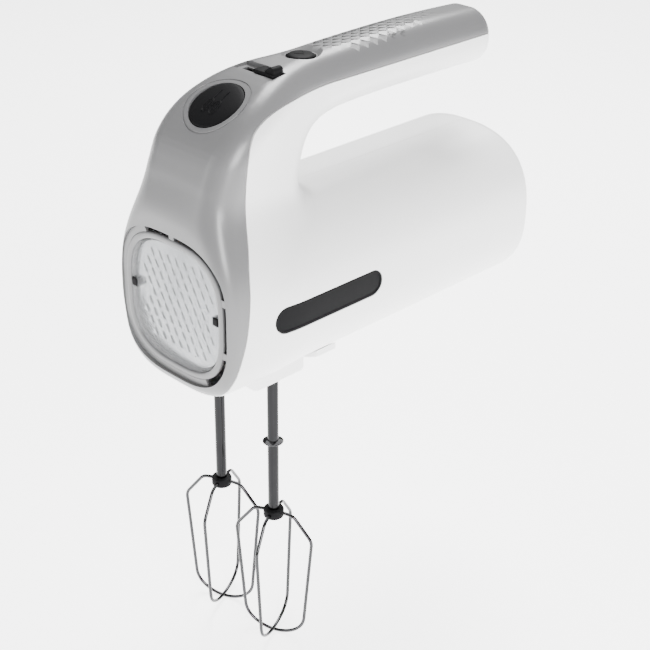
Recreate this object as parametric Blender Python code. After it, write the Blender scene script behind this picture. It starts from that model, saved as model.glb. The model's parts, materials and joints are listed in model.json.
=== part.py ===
"""Hand mixer with two wire beaters, an ejector, a speed slider and a boost button.

Lengths below are in millimetres. x runs across, y runs rearward from the plane of
the two beater axes, and z runs up from the beater tips. `world` moves a point to the
part frame, whose origin is below the middle of the housing, and turns it to metres.
"""

import math

import bmesh
import bpy
import numpy as np
from mathutils import Matrix, Vector

# ---- driving dimensions, millimetres ----
BEATER_Y = -57.0  # plane of the beater axes in the part frame
AXIS_X = 19.0  # half of the beater spacing
GAP = 0.3  # play between neighbouring solids

FRONT_Y = -42.5
REAR_Y = 156.5
HANDLE_REAR_Y = 150.0
BARREL_Z = 192.0
BARREL_HALF_WIDTH = 42.3
BARREL_HALF_HEIGHT = 39.3
BARREL_POWER = 2.5
NOSE_TAPER = 4.6
GRIP_HALF_WIDTH = 15.8
COLUMN_EDGE = 12.5
WALL = 2.6

SIDE_OUTER = [(-50, 180), (-47, 215), (-41.4, 238), (-35.8, 254), (-28.6, 267)]
SIDE_OUTER += [(-12.8, 279.6), (10, 288.2), (36.5, 290.6), (80, 291.8)]
SIDE_OUTER += [(120, 291.6), (165, 289.6)]
SIDE_INNER = [(165, 263.4), (100, 264.2), (60, 263.8), (42, 261.8), (30.5, 256.5)]
SIDE_INNER += [(25, 246), (24, 232), (24.5, 180)]
COLUMN_HEIGHTS = (150, 200, 215, 231, 245, 258, 270, 285)
COLUMN_HALF_WIDTHS = (21, 22, 24, 26, 27, 27.4, 28.6, 29.2)
SEAM = [(-38.4, 140), (-38.0, 162), (-36.9, 170), (-33, 186), (-30, 206)]
SEAM += [(-28.2, 217), (-25, 228), (-22.2, 241), (-21.2, 254), (-19.6, 264)]
SEAM += [(-15.9, 271.4), (-9, 276.0), (1, 278.6), (14, 279.5), (40, 279.6), (175, 279.6)]
SEAM_GAP = 0.2

WINDOW_Z = 193.0
WINDOW_HALF = (29.3, 28.4)
BEZEL_HALF = (32.5, 31.6)
OPENING_HALF = (35.4, 34.6)
WINDOW_POWER = 3.0

SHAFT_R = 2.65
SHAFT_TOP = 197.0
SPINDLE_R = 5.0
SPINDLE_BORE = 2.95
HUB_LOW = 71.2
HUB_HIGH = 75.9
HUB_R = 5.0
WIRE_R = 0.85
LOOP_R = 20.1
LOOP_TURN = 22.5  # degrees from the line joining the beaters

WORM_STARTS = 2
GEAR_TEETH = 30
MODULE = 1.0
GEAR_TIP_R = 15.6
GEAR_ROOT_R = 13.9
GEAR_LOW = 187.0
GEAR_HIGH = 197.0
WORM_TIP_R = 4.7
WORM_ROOT_R = 3.05

EJECT_CENTRE = (0.0, -13.5, 279.2)
EJECT_TILT = 30.0  # degrees forward of straight up
EJECT_R = 12.8
TURBO_Y = 36.4
SLIDER_Y = 11.7
BADGE_Y = (-17.6, 47.2)
BADGE_Z = 190.8
BADGE_R = 6.2

CASE_SCREWS = ((38.0, 163.0), (135.0, 166.0), (138.0, 271.6), (9.0, 245.0))

MATERIALS = {
    "white_shell": ((0.86, 0.86, 0.86), 0.42, 0.0),
    "grey_fascia": ((0.34, 0.34, 0.35), 0.45, 0.0),
    "charcoal_trim": ((0.035, 0.036, 0.038), 0.5, 0.0),
    "clear_lens": ((0.72, 0.75, 0.77), 0.25, 0.0),
    "silver_plate": ((0.75, 0.76, 0.77), 0.3, 0.8),
    "chrome_wire": ((0.6, 0.6, 0.61), 0.12, 1.0),
    "steel": ((0.5, 0.5, 0.51), 0.35, 1.0),
    "lamination": ((0.28, 0.29, 0.31), 0.5, 0.8),
    "copper": ((0.72, 0.35, 0.18), 0.35, 1.0),
    "brass": ((0.75, 0.6, 0.3), 0.35, 1.0),
    "carbon": ((0.03, 0.03, 0.03), 0.8, 0.0),
    "nylon_gear": ((0.8, 0.78, 0.7), 0.5, 0.0),
    "frame_plastic": ((0.12, 0.12, 0.13), 0.55, 0.0),
    "board_green": ((0.05, 0.25, 0.12), 0.5, 0.0),
}


# ---- scene and material helpers ----
def clear_scene():
    for obj in list(bpy.data.objects):
        bpy.data.objects.remove(obj, do_unlink=True)


def material(name):
    found = bpy.data.materials.get(name)
    if found:
        return found
    color, rough, metal = MATERIALS[name]
    made = bpy.data.materials.new(name)
    made.use_nodes = True
    shader = made.node_tree.nodes["Principled BSDF"]
    shader.inputs["Base Color"].default_value = (*color, 1.0)
    shader.inputs["Roughness"].default_value = rough
    shader.inputs["Metallic"].default_value = metal
    return made


def world(point):
    x, y, z = point
    return Vector((x, y + BEATER_Y, z)) * 0.001


def finish(name, bm, look, origin=(0, 0, 0), guide=False):
    """Turn a bmesh in mixer millimetres into a named object with its own origin."""
    bmesh.ops.recalc_face_normals(bm, faces=bm.faces)
    start = world(origin)
    for vert in bm.verts:
        vert.co = world(vert.co) - start
    mesh = bpy.data.meshes.new(name)
    bm.to_mesh(mesh)
    bm.free()
    obj = bpy.data.objects.new(name, mesh)
    obj.location = start
    bpy.context.scene.collection.objects.link(obj)
    if guide:
        obj.hide_render = True
        obj.display_type = "WIRE"
    else:
        mesh.materials.append(material(look))
        mesh.shade_smooth()
        mesh.set_sharp_from_angle(angle=math.radians(35))
    return obj


def boolean(obj, operation, cutter, solver="EXACT"):
    modifier = obj.modifiers.new(operation.lower(), "BOOLEAN")
    modifier.operation = operation
    modifier.object = cutter
    modifier.solver = solver
    return modifier


def cut(obj, *cutters, solver="EXACT"):
    for cutter in cutters:
        boolean(obj, "DIFFERENCE", cutter, solver)


# ---- shape helpers, each returning a bmesh in mixer millimetres ----
def box(low, high, bevel=0.0, steps=1):
    bm = bmesh.new()
    size = [b - a for a, b in zip(low, high)]
    centre = [(a + b) / 2 for a, b in zip(low, high)]
    bmesh.ops.create_cube(bm, size=1.0)
    bmesh.ops.scale(bm, vec=size, verts=bm.verts)
    bmesh.ops.translate(bm, vec=centre, verts=bm.verts)
    if bevel:
        bmesh.ops.bevel(
            bm, geom=bm.edges[:], offset=bevel, segments=steps,
            profile=0.5, affect="EDGES",
        )
    return bm


def join(*parts):
    """One bmesh out of several that don't touch."""
    whole = bmesh.new()
    for part in parts:
        mesh = bpy.data.meshes.new("joined")
        part.to_mesh(mesh)
        part.free()
        whole.from_mesh(mesh)
        bpy.data.meshes.remove(mesh)
    return whole


def turned(profile, centre, axis, steps=24, closed=False):
    """Spin a profile of (radius, height) pairs about an axis through centre."""
    bm = bmesh.new()
    verts = [bm.verts.new((radius, 0, height)) for radius, height in profile]
    pairs = list(zip(verts, verts[1:]))
    if closed:
        pairs.append((verts[-1], verts[0]))
    edges = [bm.edges.new(pair) for pair in pairs]
    bmesh.ops.spin(
        bm, geom=verts + edges, cent=(0, 0, 0), axis=(0, 0, 1),
        angle=math.tau, steps=steps, use_merge=True,
    )
    bmesh.ops.remove_doubles(bm, verts=bm.verts, dist=1e-4)
    turn = Vector((0, 0, 1)).rotation_difference(Vector(axis)).to_matrix().to_4x4()
    bmesh.ops.transform(bm, matrix=Matrix.Translation(centre) @ turn, verts=bm.verts)
    return bm


def rod(radius, centre, axis, low, high, steps=16):
    return turned([(0, low), (radius, low), (radius, high), (0, high)], centre, axis, steps)


def ring(outer, inner, centre, axis, low, high, steps=24):
    profile = [(inner, low), (outer, low), (outer, high), (inner, high)]
    return turned(profile, centre, axis, steps, closed=True)


def prism(outline, axis, low, high):
    """Extrude a closed outline. The outline's two numbers follow the other axes' order."""
    bm = bmesh.new()
    place = {
        "x": lambda a, b, c: (c, a, b),
        "y": lambda a, b, c: (a, c, b),
        "z": lambda a, b, c: (a, b, c),
    }[axis]
    face = bm.faces.new([bm.verts.new(place(a, b, low)) for a, b in outline])
    made = bmesh.ops.extrude_face_region(bm, geom=[face])
    tops = [item for item in made["geom"] if isinstance(item, bmesh.types.BMVert)]
    bmesh.ops.translate(bm, vec=place(0, 0, high - low), verts=tops)
    return bm


def squircle(half, centre_z, steps=32, power=WINDOW_POWER):
    points = []
    for index in range(steps):
        angle = math.tau * index / steps
        c, s = math.cos(angle), math.sin(angle)
        points.append((
            half[0] * math.copysign(abs(c) ** (2 / power), c),
            centre_z + half[1] * math.copysign(abs(s) ** (2 / power), s),
        ))
    return points


def smooth_line(points, steps):
    """Points of a Catmull-Rom curve through the given ones."""
    base = np.array(points, float)
    ends = [2 * base[0] - base[1]], [2 * base[-1] - base[-2]]
    base = np.vstack([ends[0], base, ends[1]])
    found = []
    for index in range(1, len(base) - 2):
        a, b, c, d = base[index - 1:index + 3]
        for t in np.arange(steps) / steps:
            bend = (2 * a - 5 * b + 4 * c - d) * t * t + (3 * b - a - 3 * c + d) * t ** 3
            found.append((2 * b + (c - a) * t + bend) / 2)
    found.append(base[-2])
    return np.array(found)


def wire(name, points, radius, look, origin, closed=False, detail=1):
    """A round wire as a bevelled curve."""
    curve = bpy.data.curves.new(name, "CURVE")
    curve.dimensions = "3D"
    curve.bevel_depth = radius * 0.001
    curve.bevel_resolution = detail
    curve.use_fill_caps = True
    spline = curve.splines.new("POLY")
    spline.points.add(len(points) - 1)
    start = world(origin)
    for slot, point in zip(spline.points, points):
        slot.co = (*(world(point) - start), 1.0)
    spline.use_cyclic_u = closed
    obj = bpy.data.objects.new(name, curve)
    obj.location = start
    bpy.context.scene.collection.objects.link(obj)
    curve.materials.append(material(look))
    return obj


def helix(radius, low, high, turns, per_turn=10):
    count = int(turns * per_turn)
    for index in range(count + 1):
        angle = math.tau * index / per_turn
        height = low + (high - low) * index / count
        yield radius * math.cos(angle), radius * math.sin(angle), height


# ---- housing surface ----
def round_max(a, b, radius):
    """Intersection of two signed distances with a rounded edge."""
    u = np.maximum(a + radius, 0)
    v = np.maximum(b + radius, 0)
    return np.hypot(u, v) - radius + np.minimum(np.maximum(a, b) + radius, 0)


def round_min(a, b, radius):
    """Union of two signed distances with a filleted corner."""
    return -round_max(-a, -b, radius)


def ease(low, high, value):
    t = np.clip((value - low) / (high - low), 0, 1)
    return t * t * (3 - 2 * t)


SIDE_PROFILE = np.vstack([smooth_line(SIDE_OUTER, 6), smooth_line(SIDE_INNER, 6)])


def profile_distance(y, z):
    """Signed distance in the side view to the outline of the column and handle."""
    nearest = np.full(np.shape(y), 1e9)
    inside = np.zeros(np.shape(y), bool)
    for (ay, az), (by, bz) in zip(SIDE_PROFILE, np.roll(SIDE_PROFILE, -1, 0)):
        ey, ez = by - ay, bz - az
        length = ey * ey + ez * ez
        if length < 1e-9:
            continue
        t = np.clip(((y - ay) * ey + (z - az) * ez) / length, 0, 1)
        nearest = np.minimum(nearest, (y - ay - t * ey) ** 2 + (z - az - t * ez) ** 2)
        if az != bz:
            crosses = (az > z) != (bz > z)
            inside ^= crosses & (y < ay + (z - az) * ey / (bz - az))
    nearest = np.sqrt(nearest)
    return np.where(inside, -nearest, nearest)


def column_half_width(y, z):
    front = np.interp(z, COLUMN_HEIGHTS, COLUMN_HALF_WIDTHS)
    rear = ease(-25, 42, y)
    return front * (1 - rear) + GRIP_HALF_WIDTH * rear


def housing(x, y, z):
    """Signed distance to the housing: barrel and column with a blend between them."""
    across = np.abs(x)
    low = np.clip((BARREL_Z - z) / 20, 0, 1)
    power = BARREL_POWER + 0.8 * low * (1 - ease(-40, 10, y))
    half = BARREL_HALF_WIDTH - NOSE_TAPER * (1 - ease(-43, 0, y))
    up = np.abs(z - BARREL_Z) / BARREL_HALF_HEIGHT
    barrel = (((across / half) ** power + up ** power) ** (1 / power) - 1) * 40
    barrel = round_max(barrel, y - REAR_Y, 5.0)
    column = round_max(
        across - column_half_width(y, z), profile_distance(y, z), COLUMN_EDGE
    )
    column = round_max(column, y - HANDLE_REAR_Y, 3.5)
    both = round_min(barrel, column, 9 + 11 * (1 - ease(-30, 24, y)))
    return round_max(both, FRONT_Y - y, 7.0)


def flank_x(y, z):
    """Half width of the housing at one place on its side."""
    low, high = 1.0, 60.0
    for _ in range(40):
        middle = (low + high) / 2
        if housing(np.array(middle), np.array(float(y)), np.array(float(z))) < 0:
            low = middle
        else:
            high = middle
    return low


def contour_mesh(field, low, high, step):
    """Quads round the zero surface of a field, one vertex per crossed cell."""
    counts = [int(math.ceil((b - a) / step)) + 1 for a, b in zip(low, high)]
    axes = [a + step * np.arange(n) for a, n in zip(low, counts)]
    grid = np.stack(np.meshgrid(*axes, indexing="ij"), -1)
    value = field(*np.moveaxis(grid, -1, 0))

    def corner(offset):
        return tuple(slice(o, n - 1 + o) for o, n in zip(offset, counts))

    cells = [n - 1 for n in counts]
    total = np.zeros(cells + [3])
    hits = np.zeros(cells)
    for axis in range(3):
        first, second = [other for other in range(3) if other != axis]
        for i in (0, 1):
            for j in (0, 1):
                near = [0, 0, 0]
                near[first], near[second] = i, j
                far = list(near)
                far[axis] = 1
                a, b = value[corner(near)], value[corner(far)]
                crossed = (a < 0) != (b < 0)
                t = np.where(crossed, a / np.where(crossed, a - b, 1), 0)[..., None]
                point = grid[corner(near)] * (1 - t) + grid[corner(far)] * t
                total += np.where(crossed[..., None], point, 0)
                hits += crossed
    used = hits > 0
    number = -np.ones(cells, int)
    number[used] = np.arange(used.sum())
    points = total[used] / hits[used][:, None]
    quads = []
    for axis in range(3):
        order = [axis] + [other for other in range(3) if other != axis]
        turned_value = np.moveaxis(value, order, [0, 1, 2])
        cell = np.moveaxis(number, order, [0, 1, 2])
        inner = turned_value[:, 1:-1, 1:-1] < 0
        i, j, k = np.nonzero(inner[:-1] != inner[1:])
        quads.append(np.stack([
            cell[i, j, k], cell[i, j + 1, k], cell[i, j + 1, k + 1], cell[i, j, k + 1],
        ], 1))
    nudge = 0.05
    for _ in range(4):
        here = field(*points.T)
        slope = np.stack([
            (field(*(points + d).T) - field(*(points - d).T)) / (2 * nudge)
            for d in np.eye(3) * nudge
        ], 1)
        size = np.maximum((slope * slope).sum(1), 1e-3)
        points = points - (here / size)[:, None] * slope
    return points, np.vstack(quads)


def surface_guide(name, inset, step, ratio):
    """A hidden closed surface at a given depth below the housing surface."""
    points, quads = contour_mesh(
        lambda x, y, z: housing(x, y, z) + inset, (-48, -50, 146), (48, 164, 300), step
    )
    bm = bmesh.new()
    verts = [bm.verts.new(point) for point in points]
    for quad in quads:
        bm.faces.new([verts[index] for index in quad])
    obj = finish(name, bm, None, guide=True)
    thin_out(obj, ratio)
    return obj


def thin_out(obj, ratio):
    modifier = obj.modifiers.new("fewer_faces", "DECIMATE")
    modifier.ratio = ratio
    modifier.use_symmetry = True
    modifier.symmetry_axis = "X"


def copy_guide(guide, name, look):
    """A new node that starts as the solid of a guide, modifiers included."""
    mesh = guide.data.copy()
    mesh.name = name
    obj = bpy.data.objects.new(name, mesh)
    obj.location = guide.location
    bpy.context.scene.collection.objects.link(obj)
    ratio = guide.modifiers["fewer_faces"].ratio
    thin_out(obj, ratio)
    mesh.materials.append(material(look))
    mesh.shade_smooth()
    mesh.set_sharp_from_angle(angle=math.radians(35))
    return obj


def fascia_region(name, shift):
    """Everything in front of and above the seam, moved by shift towards the fascia."""
    line = smooth_line(SEAM, 2)
    line = line + np.array([-shift, shift])
    outline = [tuple(point) for point in line] + [(175, 330), (-80, 330), (-80, 140)]
    return finish(name, prism(outline, "x", -60, 60), None, guide=True)


def stadium_plate(y_range, radius, outer_depth, inner_depth, side):
    """A plate with round ends that follows the flank between two depths."""
    bm = bmesh.new()
    start, end = y_range[0] + radius, y_range[1] - radius
    stations = [start - radius * math.cos(a) for a in np.linspace(0.12, math.pi / 2, 5)]
    stations += list(np.linspace(start, end, 6)[1:-1])
    stations += [end + radius * math.sin(a) for a in np.linspace(0, math.pi / 2 - 0.12, 5)]
    layers = []
    for depth in (outer_depth, inner_depth):
        rows = []
        for y in stations:
            over = max(start - y, y - end, 0)
            reach = math.sqrt(max(radius * radius - over * over, 0))
            row = []
            for share in (-1, 0, 1):
                z = BADGE_Z + share * reach
                row.append(bm.verts.new((side * (flank_x(y, z) - depth), y, z)))
            rows.append(row)
        layers.append(rows)
        for a, b in zip(rows, rows[1:]):
            for k in (0, 1):
                bm.faces.new([a[k], a[k + 1], b[k + 1], b[k]])
    top, bottom = layers
    last = len(stations) - 1
    for i in range(last):
        for k in (0, 2):
            bm.faces.new([top[i][k], top[i + 1][k], bottom[i + 1][k], bottom[i][k]])
    for i in (0, last):
        for k in (0, 1):
            bm.faces.new([top[i][k], top[i][k + 1], bottom[i][k + 1], bottom[i][k]])
    return bm


# ---- housing pieces ----
def tilt_axis():
    angle = math.radians(EJECT_TILT)
    return Vector((0, -math.sin(angle), math.cos(angle)))


def make_housing():
    outer = surface_guide("guide_outer", 0.0, 4.0, 0.115)
    inner = surface_guide("guide_inner", WALL, 5.0, 0.1)
    for_shell = fascia_region("guide_front_of_shells", -SEAM_GAP)
    for_fascia = fascia_region("guide_front_of_fascia", SEAM_GAP)
    shared = shell_openings()
    for name, side in (("left_shell", -1), ("right_shell", 1)):
        obj = copy_guide(outer, name, "white_shell")
        half = box((-60, -90, 130), (0.15, 190, 330))
        if side < 0:
            half = box((-0.15, -90, 130), (60, 190, 330))
        other = finish("guide_half_of_" + name, half, None, guide=True)
        cut(obj, for_shell, other, inner, solver="MANIFOLD")
        boolean(obj, "UNION", screw_posts(name, side), "MANIFOLD")
        plate = stadium_plate(
            (BADGE_Y[0] - GAP, BADGE_Y[1] + GAP), BADGE_R + GAP, -12, 1.9, side
        )
        pocket = finish("guide_badge_pocket_" + name, plate, None, guide=True)
        cut(obj, pocket, screw_bores(name, side), *shared, solver="MANIFOLD")
    fascia = copy_guide(outer, "front_fascia", "grey_fascia")
    boolean(fascia, "INTERSECT", for_fascia, "MANIFOLD")
    cut(fascia, inner, *fascia_openings(), solver="MANIFOLD")


def screw_posts(name, side):
    posts = []
    for y, z in CASE_SCREWS:
        reach = flank_x(y, z) - 1.2
        low, high = (0.15, reach) if side > 0 else (-reach, -0.15)
        posts.append(rod(4.6, (0, y, z), (1, 0, 0), low, high, 12))
    return finish("guide_posts_" + name, join(*posts), None, guide=True)


def screw_bores(name, side):
    bores = []
    for y, z in CASE_SCREWS:
        reach = flank_x(y, z)
        if side > 0:
            bores.append(rod(1.8, (0, y, z), (1, 0, 0), -5, 9, 12))
            continue
        profile = [(0, -reach - 5), (3.4, -reach - 5), (3.4, -reach + 5.5)]
        profile += [(1.8, -reach + 5.5), (1.8, 5), (0, 5)]
        bores.append(turned(profile, (0, y, z), (1, 0, 0), 12))
    return finish("guide_bores_" + name, join(*bores), None, guide=True)


def shell_openings():
    """Cuts that both shells share: socket block, cord bush and rear air slots."""
    block = box((-25.4, -16.4, 140), (25.4, 16.4, 170))
    bush = rod(7.3, (0, 0, 208), (0, 1, 0), 148, 170, 20)
    slots = []
    for side in (-1, 1):
        for row in range(4):
            z = 168 + 6 * row
            low, high = sorted((side * 9, side * 27))
            slots.append(box((low, 148, z), (high, 170, z + 2.4)))
    return (
        finish("guide_socket_hole", block, None, guide=True),
        finish("guide_bush_hole", bush, None, guide=True),
        finish("guide_air_slots", join(*slots), None, guide=True),
    )


def fascia_openings():
    window = prism(squircle(OPENING_HALF, WINDOW_Z), "y", -60, -30)
    eject = rod(EJECT_R + 0.4, EJECT_CENTRE, tilt_axis(), -9, 9, 32)
    recess = box((-12.4, SLIDER_Y - 3.9, 286.9), (12.4, SLIDER_Y + 3.9, 296))
    slot = box((-9.4, SLIDER_Y - 1.7, 270), (9.4, SLIDER_Y + 1.7, 296))
    turbo = rod(6.9, (0, TURBO_Y, 0), (0, 0, 1), 270, 300, 24)
    dish = rod(8.6, (0, TURBO_Y, 0), (0, 0, 1), 289.5, 300, 24)
    names = ("window", "eject", "slider_recess", "slider_slot", "turbo", "turbo_dish")
    shapes = (window, eject, recess, slot, turbo, dish)
    return [
        finish("guide_hole_" + name, shape, None, guide=True)
        for name, shape in zip(names, shapes)
    ]


def make_window():
    ring_shape = prism(squircle(BEZEL_HALF, WINDOW_Z), "y", -41.2, -36.6)
    bezel = finish("window_bezel", ring_shape, "grey_fascia")
    ribs = []
    for angle in (25, 90, 155, 205, 270, 335):
        c, s = math.cos(math.radians(angle)), math.sin(math.radians(angle))
        inner = Vector((c * 31.0, 0, s * 30.2))
        reach = Vector((c * 34.6, 0, s * 33.8))
        if abs(c) > 0.3:
            inner = Vector((math.copysign(31.6, c), 0, s * 30.0))
            reach = Vector((math.copysign(34.4, c), 0, s * 30.0))
        along = (reach - inner).normalized()
        across = Vector((along.z, 0, -along.x)) * 1.6
        corners = [inner - across, inner + across, reach + across, reach - across]
        outline = [(p.x, p.z + WINDOW_Z) for p in corners]
        ribs.append(prism(outline, "y", -39.4, -37.4))
    boolean(bezel, "UNION", finish("guide_bezel_ribs", join(*ribs), None, guide=True))
    hole = squircle((WINDOW_HALF[0] + GAP, WINDOW_HALF[1] + GAP), WINDOW_Z)
    cut(bezel, finish("guide_bezel_hole", prism(hole, "y", -50, -30), None, guide=True))
    lens = finish(
        "window_lens", prism(squircle(WINDOW_HALF, WINDOW_Z), "y", -40.6, -38.6),
        "clear_lens",
    )
    notches = []
    for side in (-1, 1):
        low, high = sorted((side * 25.2, side * 31.0))
        notches.append(box((low, -44, 192.8), (high, -30, 197.4)))
        low, high = sorted((side * 25.5, side * 28.9))
        clip = box((low, -40.8, 193.1), (high, -36.4, 197.1), 0.4)
        finish(("left" if side < 0 else "right") + "_window_clip", clip, "charcoal_trim")
    notch = finish("guide_clip_notches", join(*notches), None, guide=True)
    cut(lens, notch)
    plate = prism(squircle(WINDOW_HALF, WINDOW_Z), "y", -38.2, -36.8)
    backing = finish("window_backing", plate, "silver_plate")
    cut(backing, notch)


def make_badges():
    for name, side in (("left_badge", -1), ("right_badge", 1)):
        plate = stadium_plate(BADGE_Y, BADGE_R, 0.25, 1.55, side)
        finish(name, plate, "charcoal_trim")


def make_case_screws():
    for index, (y, z) in enumerate(CASE_SCREWS):
        head = -flank_x(y, z) + 2.6
        profile = [(0, head), (3.0, head), (3.0, head + 2.4), (1.5, head + 2.6)]
        profile += [(1.5, 7.5), (0, 8.6)]
        bm = turned(profile, (0, y, z), (1, 0, 0), 10)
        finish("case_screw_%d" % (index + 1), bm, "steel")


def make_base():
    block = box((-25, -16, 148), (25, 16, 163), 3.2, 2)
    socket = finish("socket_block", block, "white_shell")
    bores = [rod(SPINDLE_R + GAP, (s * AXIS_X, 0, 0), (0, 0, 1), 140, 170, 14)
             for s in (-1, 1)]
    cut(socket, finish("guide_socket_bores", join(*bores), None, guide=True))
    outline = []
    for depth, order in ((-3.0, 1), (-0.45, -1)):
        arc = []
        for x in np.linspace(-29, 29, 13)[::order]:
            up = 1 - (abs(x) / (BARREL_HALF_WIDTH - depth)) ** BARREL_POWER
            reach = (BARREL_HALF_HEIGHT - depth) * up ** (1 / BARREL_POWER)
            arc.append((x, BARREL_Z - reach))
        outline += arc
    finish("base_pad", prism(outline, "y", 19, 31.4), "white_shell")
    bush = [(3.4, 150.4), (9.2, 150.4), (9.2, 153.4), (7.0, 153.4), (7.0, 156.4),
            (3.4, 156.4)]
    bm = turned(bush, (0, 0, 208), (0, 1, 0), 20, closed=True)
    finish("cord_bush", bm, "charcoal_trim")


# ---- controls ----
def make_eject_button():
    axis = tilt_axis()
    crown = [(0, 0.9), (7, 0.5), (11, -0.2), (EJECT_R, -0.9), (EJECT_R, -5.0)]
    flange = [(14.2, -5.0), (14.2, -6.3), (4, -6.3), (4, -15), (0, -15)]
    bm = turned(crown + flange, EJECT_CENTRE, axis, 24)
    finish("eject_button", bm, "charcoal_trim", EJECT_CENTRE)
    pad = box((-8, -14, 261.4), (8, 3, 263.8), 0.4)
    carrier = finish("ejector_carrier", pad, "frame_plastic", (0, 0, 222))
    pieces = [
        box((-3, -3, 220), (3, 3, 262.5)),
        box((-22.5, -4, 218.4), (22.5, 4, 222)),
        rod(2.4, (-AXIS_X, 0, 0), (0, 0, 1), 201.9, 220, 12),
        rod(2.4, (AXIS_X, 0, 0), (0, 0, 1), 201.9, 220, 12),
    ]
    for index, piece in enumerate(pieces):
        name = "guide_carrier_%d" % index
        boolean(carrier, "UNION", finish(name, piece, None, guide=True))
    coil = list(helix(4.4, 204.1, 217.4, 3, 8))
    wire("eject_spring", coil, 0.5, "steel", (0, 0, 203.6))


def make_turbo_button():
    profile = [(0, 290.2), (4.5, 290.0), (6.4, 289.4), (6.4, 285.2), (7.8, 285.2),
               (7.8, 284.2), (2.2, 284.2), (2.2, 279.6), (0, 279.6)]
    bm = turned(profile, (0, TURBO_Y, 0), (0, 0, 1), 24)
    finish("turbo_button", bm, "charcoal_trim", (0, TURBO_Y, 284.2))
    coil = [(x, y + TURBO_Y, z) for x, y, z in helix(3.6, 277.4, 283.4, 3, 8)]
    wire("turbo_spring", coil, 0.4, "steel", (0, TURBO_Y, 276.9))
    base = box((-5.5, TURBO_Y - 7, 268.4), (5.5, TURBO_Y + 7, 276.5), 0.5)
    finish("turbo_switch", base, "frame_plastic")


def make_speed_slider():
    """The knob rests at its right-hand end, and moves across the spine."""
    y = SLIDER_Y
    plate = box((-0.6, y - 3.4, 287.2), (11.8, y + 3.4, 289.2), 0.5, 2)
    slider = finish("speed_slider", plate, "charcoal_trim", (5.6, y, 287.2))
    nub = box((5.8, y - 2.6, 288.2), (11.4, y + 3.3, 291.8), 0.9, 2)
    stem = box((3.8, y - 1.3, 281.9), (8.2, y + 1.3, 288.2))
    foot = box((0.6, y - 3.4, 281.9), (11.4, y + 3.4, 283.9))
    for name, piece in (("nub", nub), ("stem", stem), ("foot", foot)):
        boolean(slider, "UNION", finish("guide_slider_" + name, piece, None, guide=True))
    board = box((-12, 2, 270), (12, 24, 271.6))
    finish("control_board", board, "board_green")
    body = box((-10, y - 5, 272), (10, y + 5, 281.4), 0.5)
    finish("speed_switch", body, "frame_plastic")


# ---- gearbox ----
def gear_outline(shift):
    """Straight-sided teeth round a circle, turned by shift radians."""
    points = []
    for tooth in range(GEAR_TEETH):
        middle = math.tau * tooth / GEAR_TEETH + shift
        for part, radius in ((-0.25, GEAR_ROOT_R), (-0.13, GEAR_TIP_R),
                             (0.13, GEAR_TIP_R), (0.25, GEAR_ROOT_R)):
            angle = middle + part * math.tau / GEAR_TEETH
            points.append((radius * math.cos(angle), radius * math.sin(angle)))
    return points


def thread_slope():
    """Rise along y per unit of z where the thread meets a wheel."""
    pitch_radius = AXIS_X - GEAR_TEETH * MODULE / 2
    return WORM_STARTS * math.pi * MODULE / math.tau / pitch_radius


def make_wheel(name, side):
    """A helical wheel whose tooth gaps face the worm at the middle of its height."""
    bm = bmesh.new()
    middle = (GEAR_LOW + GEAR_HIGH) / 2
    facing = math.pi if side > 0 else 0.0
    half_pitch = math.pi / GEAR_TEETH
    layers = []
    for z in (GEAR_LOW, GEAR_HIGH):
        twist = -thread_slope() * (z - middle) / (GEAR_TEETH * MODULE / 2)
        outline = gear_outline(facing + half_pitch + twist)
        layers.append([bm.verts.new((x + side * AXIS_X, y, z)) for x, y in outline])
    count = len(layers[0])
    for a, b in zip(layers, layers[1:]):
        for i in range(count):
            j = (i + 1) % count
            bm.faces.new([a[i], a[j], b[j], b[i]])
    bm.faces.new(layers[0])
    bm.faces.new(layers[-1])
    wheel = finish(name, bm, "nylon_gear", (side * AXIS_X, 0, middle))
    bore = rod(SPINDLE_R + GAP, (side * AXIS_X, 0, 0), (0, 0, 1), 180, 205, 14)
    cut(wheel, finish("guide_bore_" + name, bore, None, guide=True))


def make_worm():
    """Twisted two-start thread with a bore. A thread crest faces each wheel's gap."""
    bm = bmesh.new()
    lead = WORM_STARTS * math.pi * MODULE
    low, high, count = -8.0, 8.0, 28
    shape = []
    for start in range(WORM_STARTS):
        middle = math.tau * start / WORM_STARTS
        for part, radius in ((-0.22, WORM_ROOT_R), (-0.10, WORM_TIP_R),
                             (0.10, WORM_TIP_R), (0.22, WORM_ROOT_R), (0.5, WORM_ROOT_R)):
            shape.append((middle + part * math.tau / WORM_STARTS, radius))
    rows = []
    for index in range(count + 1):
        y = low + (high - low) * index / count
        turn = math.tau * y / lead
        rows.append([
            bm.verts.new((r * math.cos(a + turn), y, BARREL_Z + r * math.sin(a + turn)))
            for a, r in shape
        ])
    for a, b in zip(rows, rows[1:]):
        for i in range(len(shape)):
            j = (i + 1) % len(shape)
            bm.faces.new([a[i], a[j], b[j], b[i]])
    bm.faces.new(rows[0])
    bm.faces.new(rows[-1])
    worm = finish("drive_worm", bm, "steel", (0, 0, BARREL_Z))
    bore = rod(2.3, (0, 0, BARREL_Z), (0, 1, 0), -20, 20, 12)
    cut(worm, finish("guide_worm_bore", bore, None, guide=True))


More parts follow.
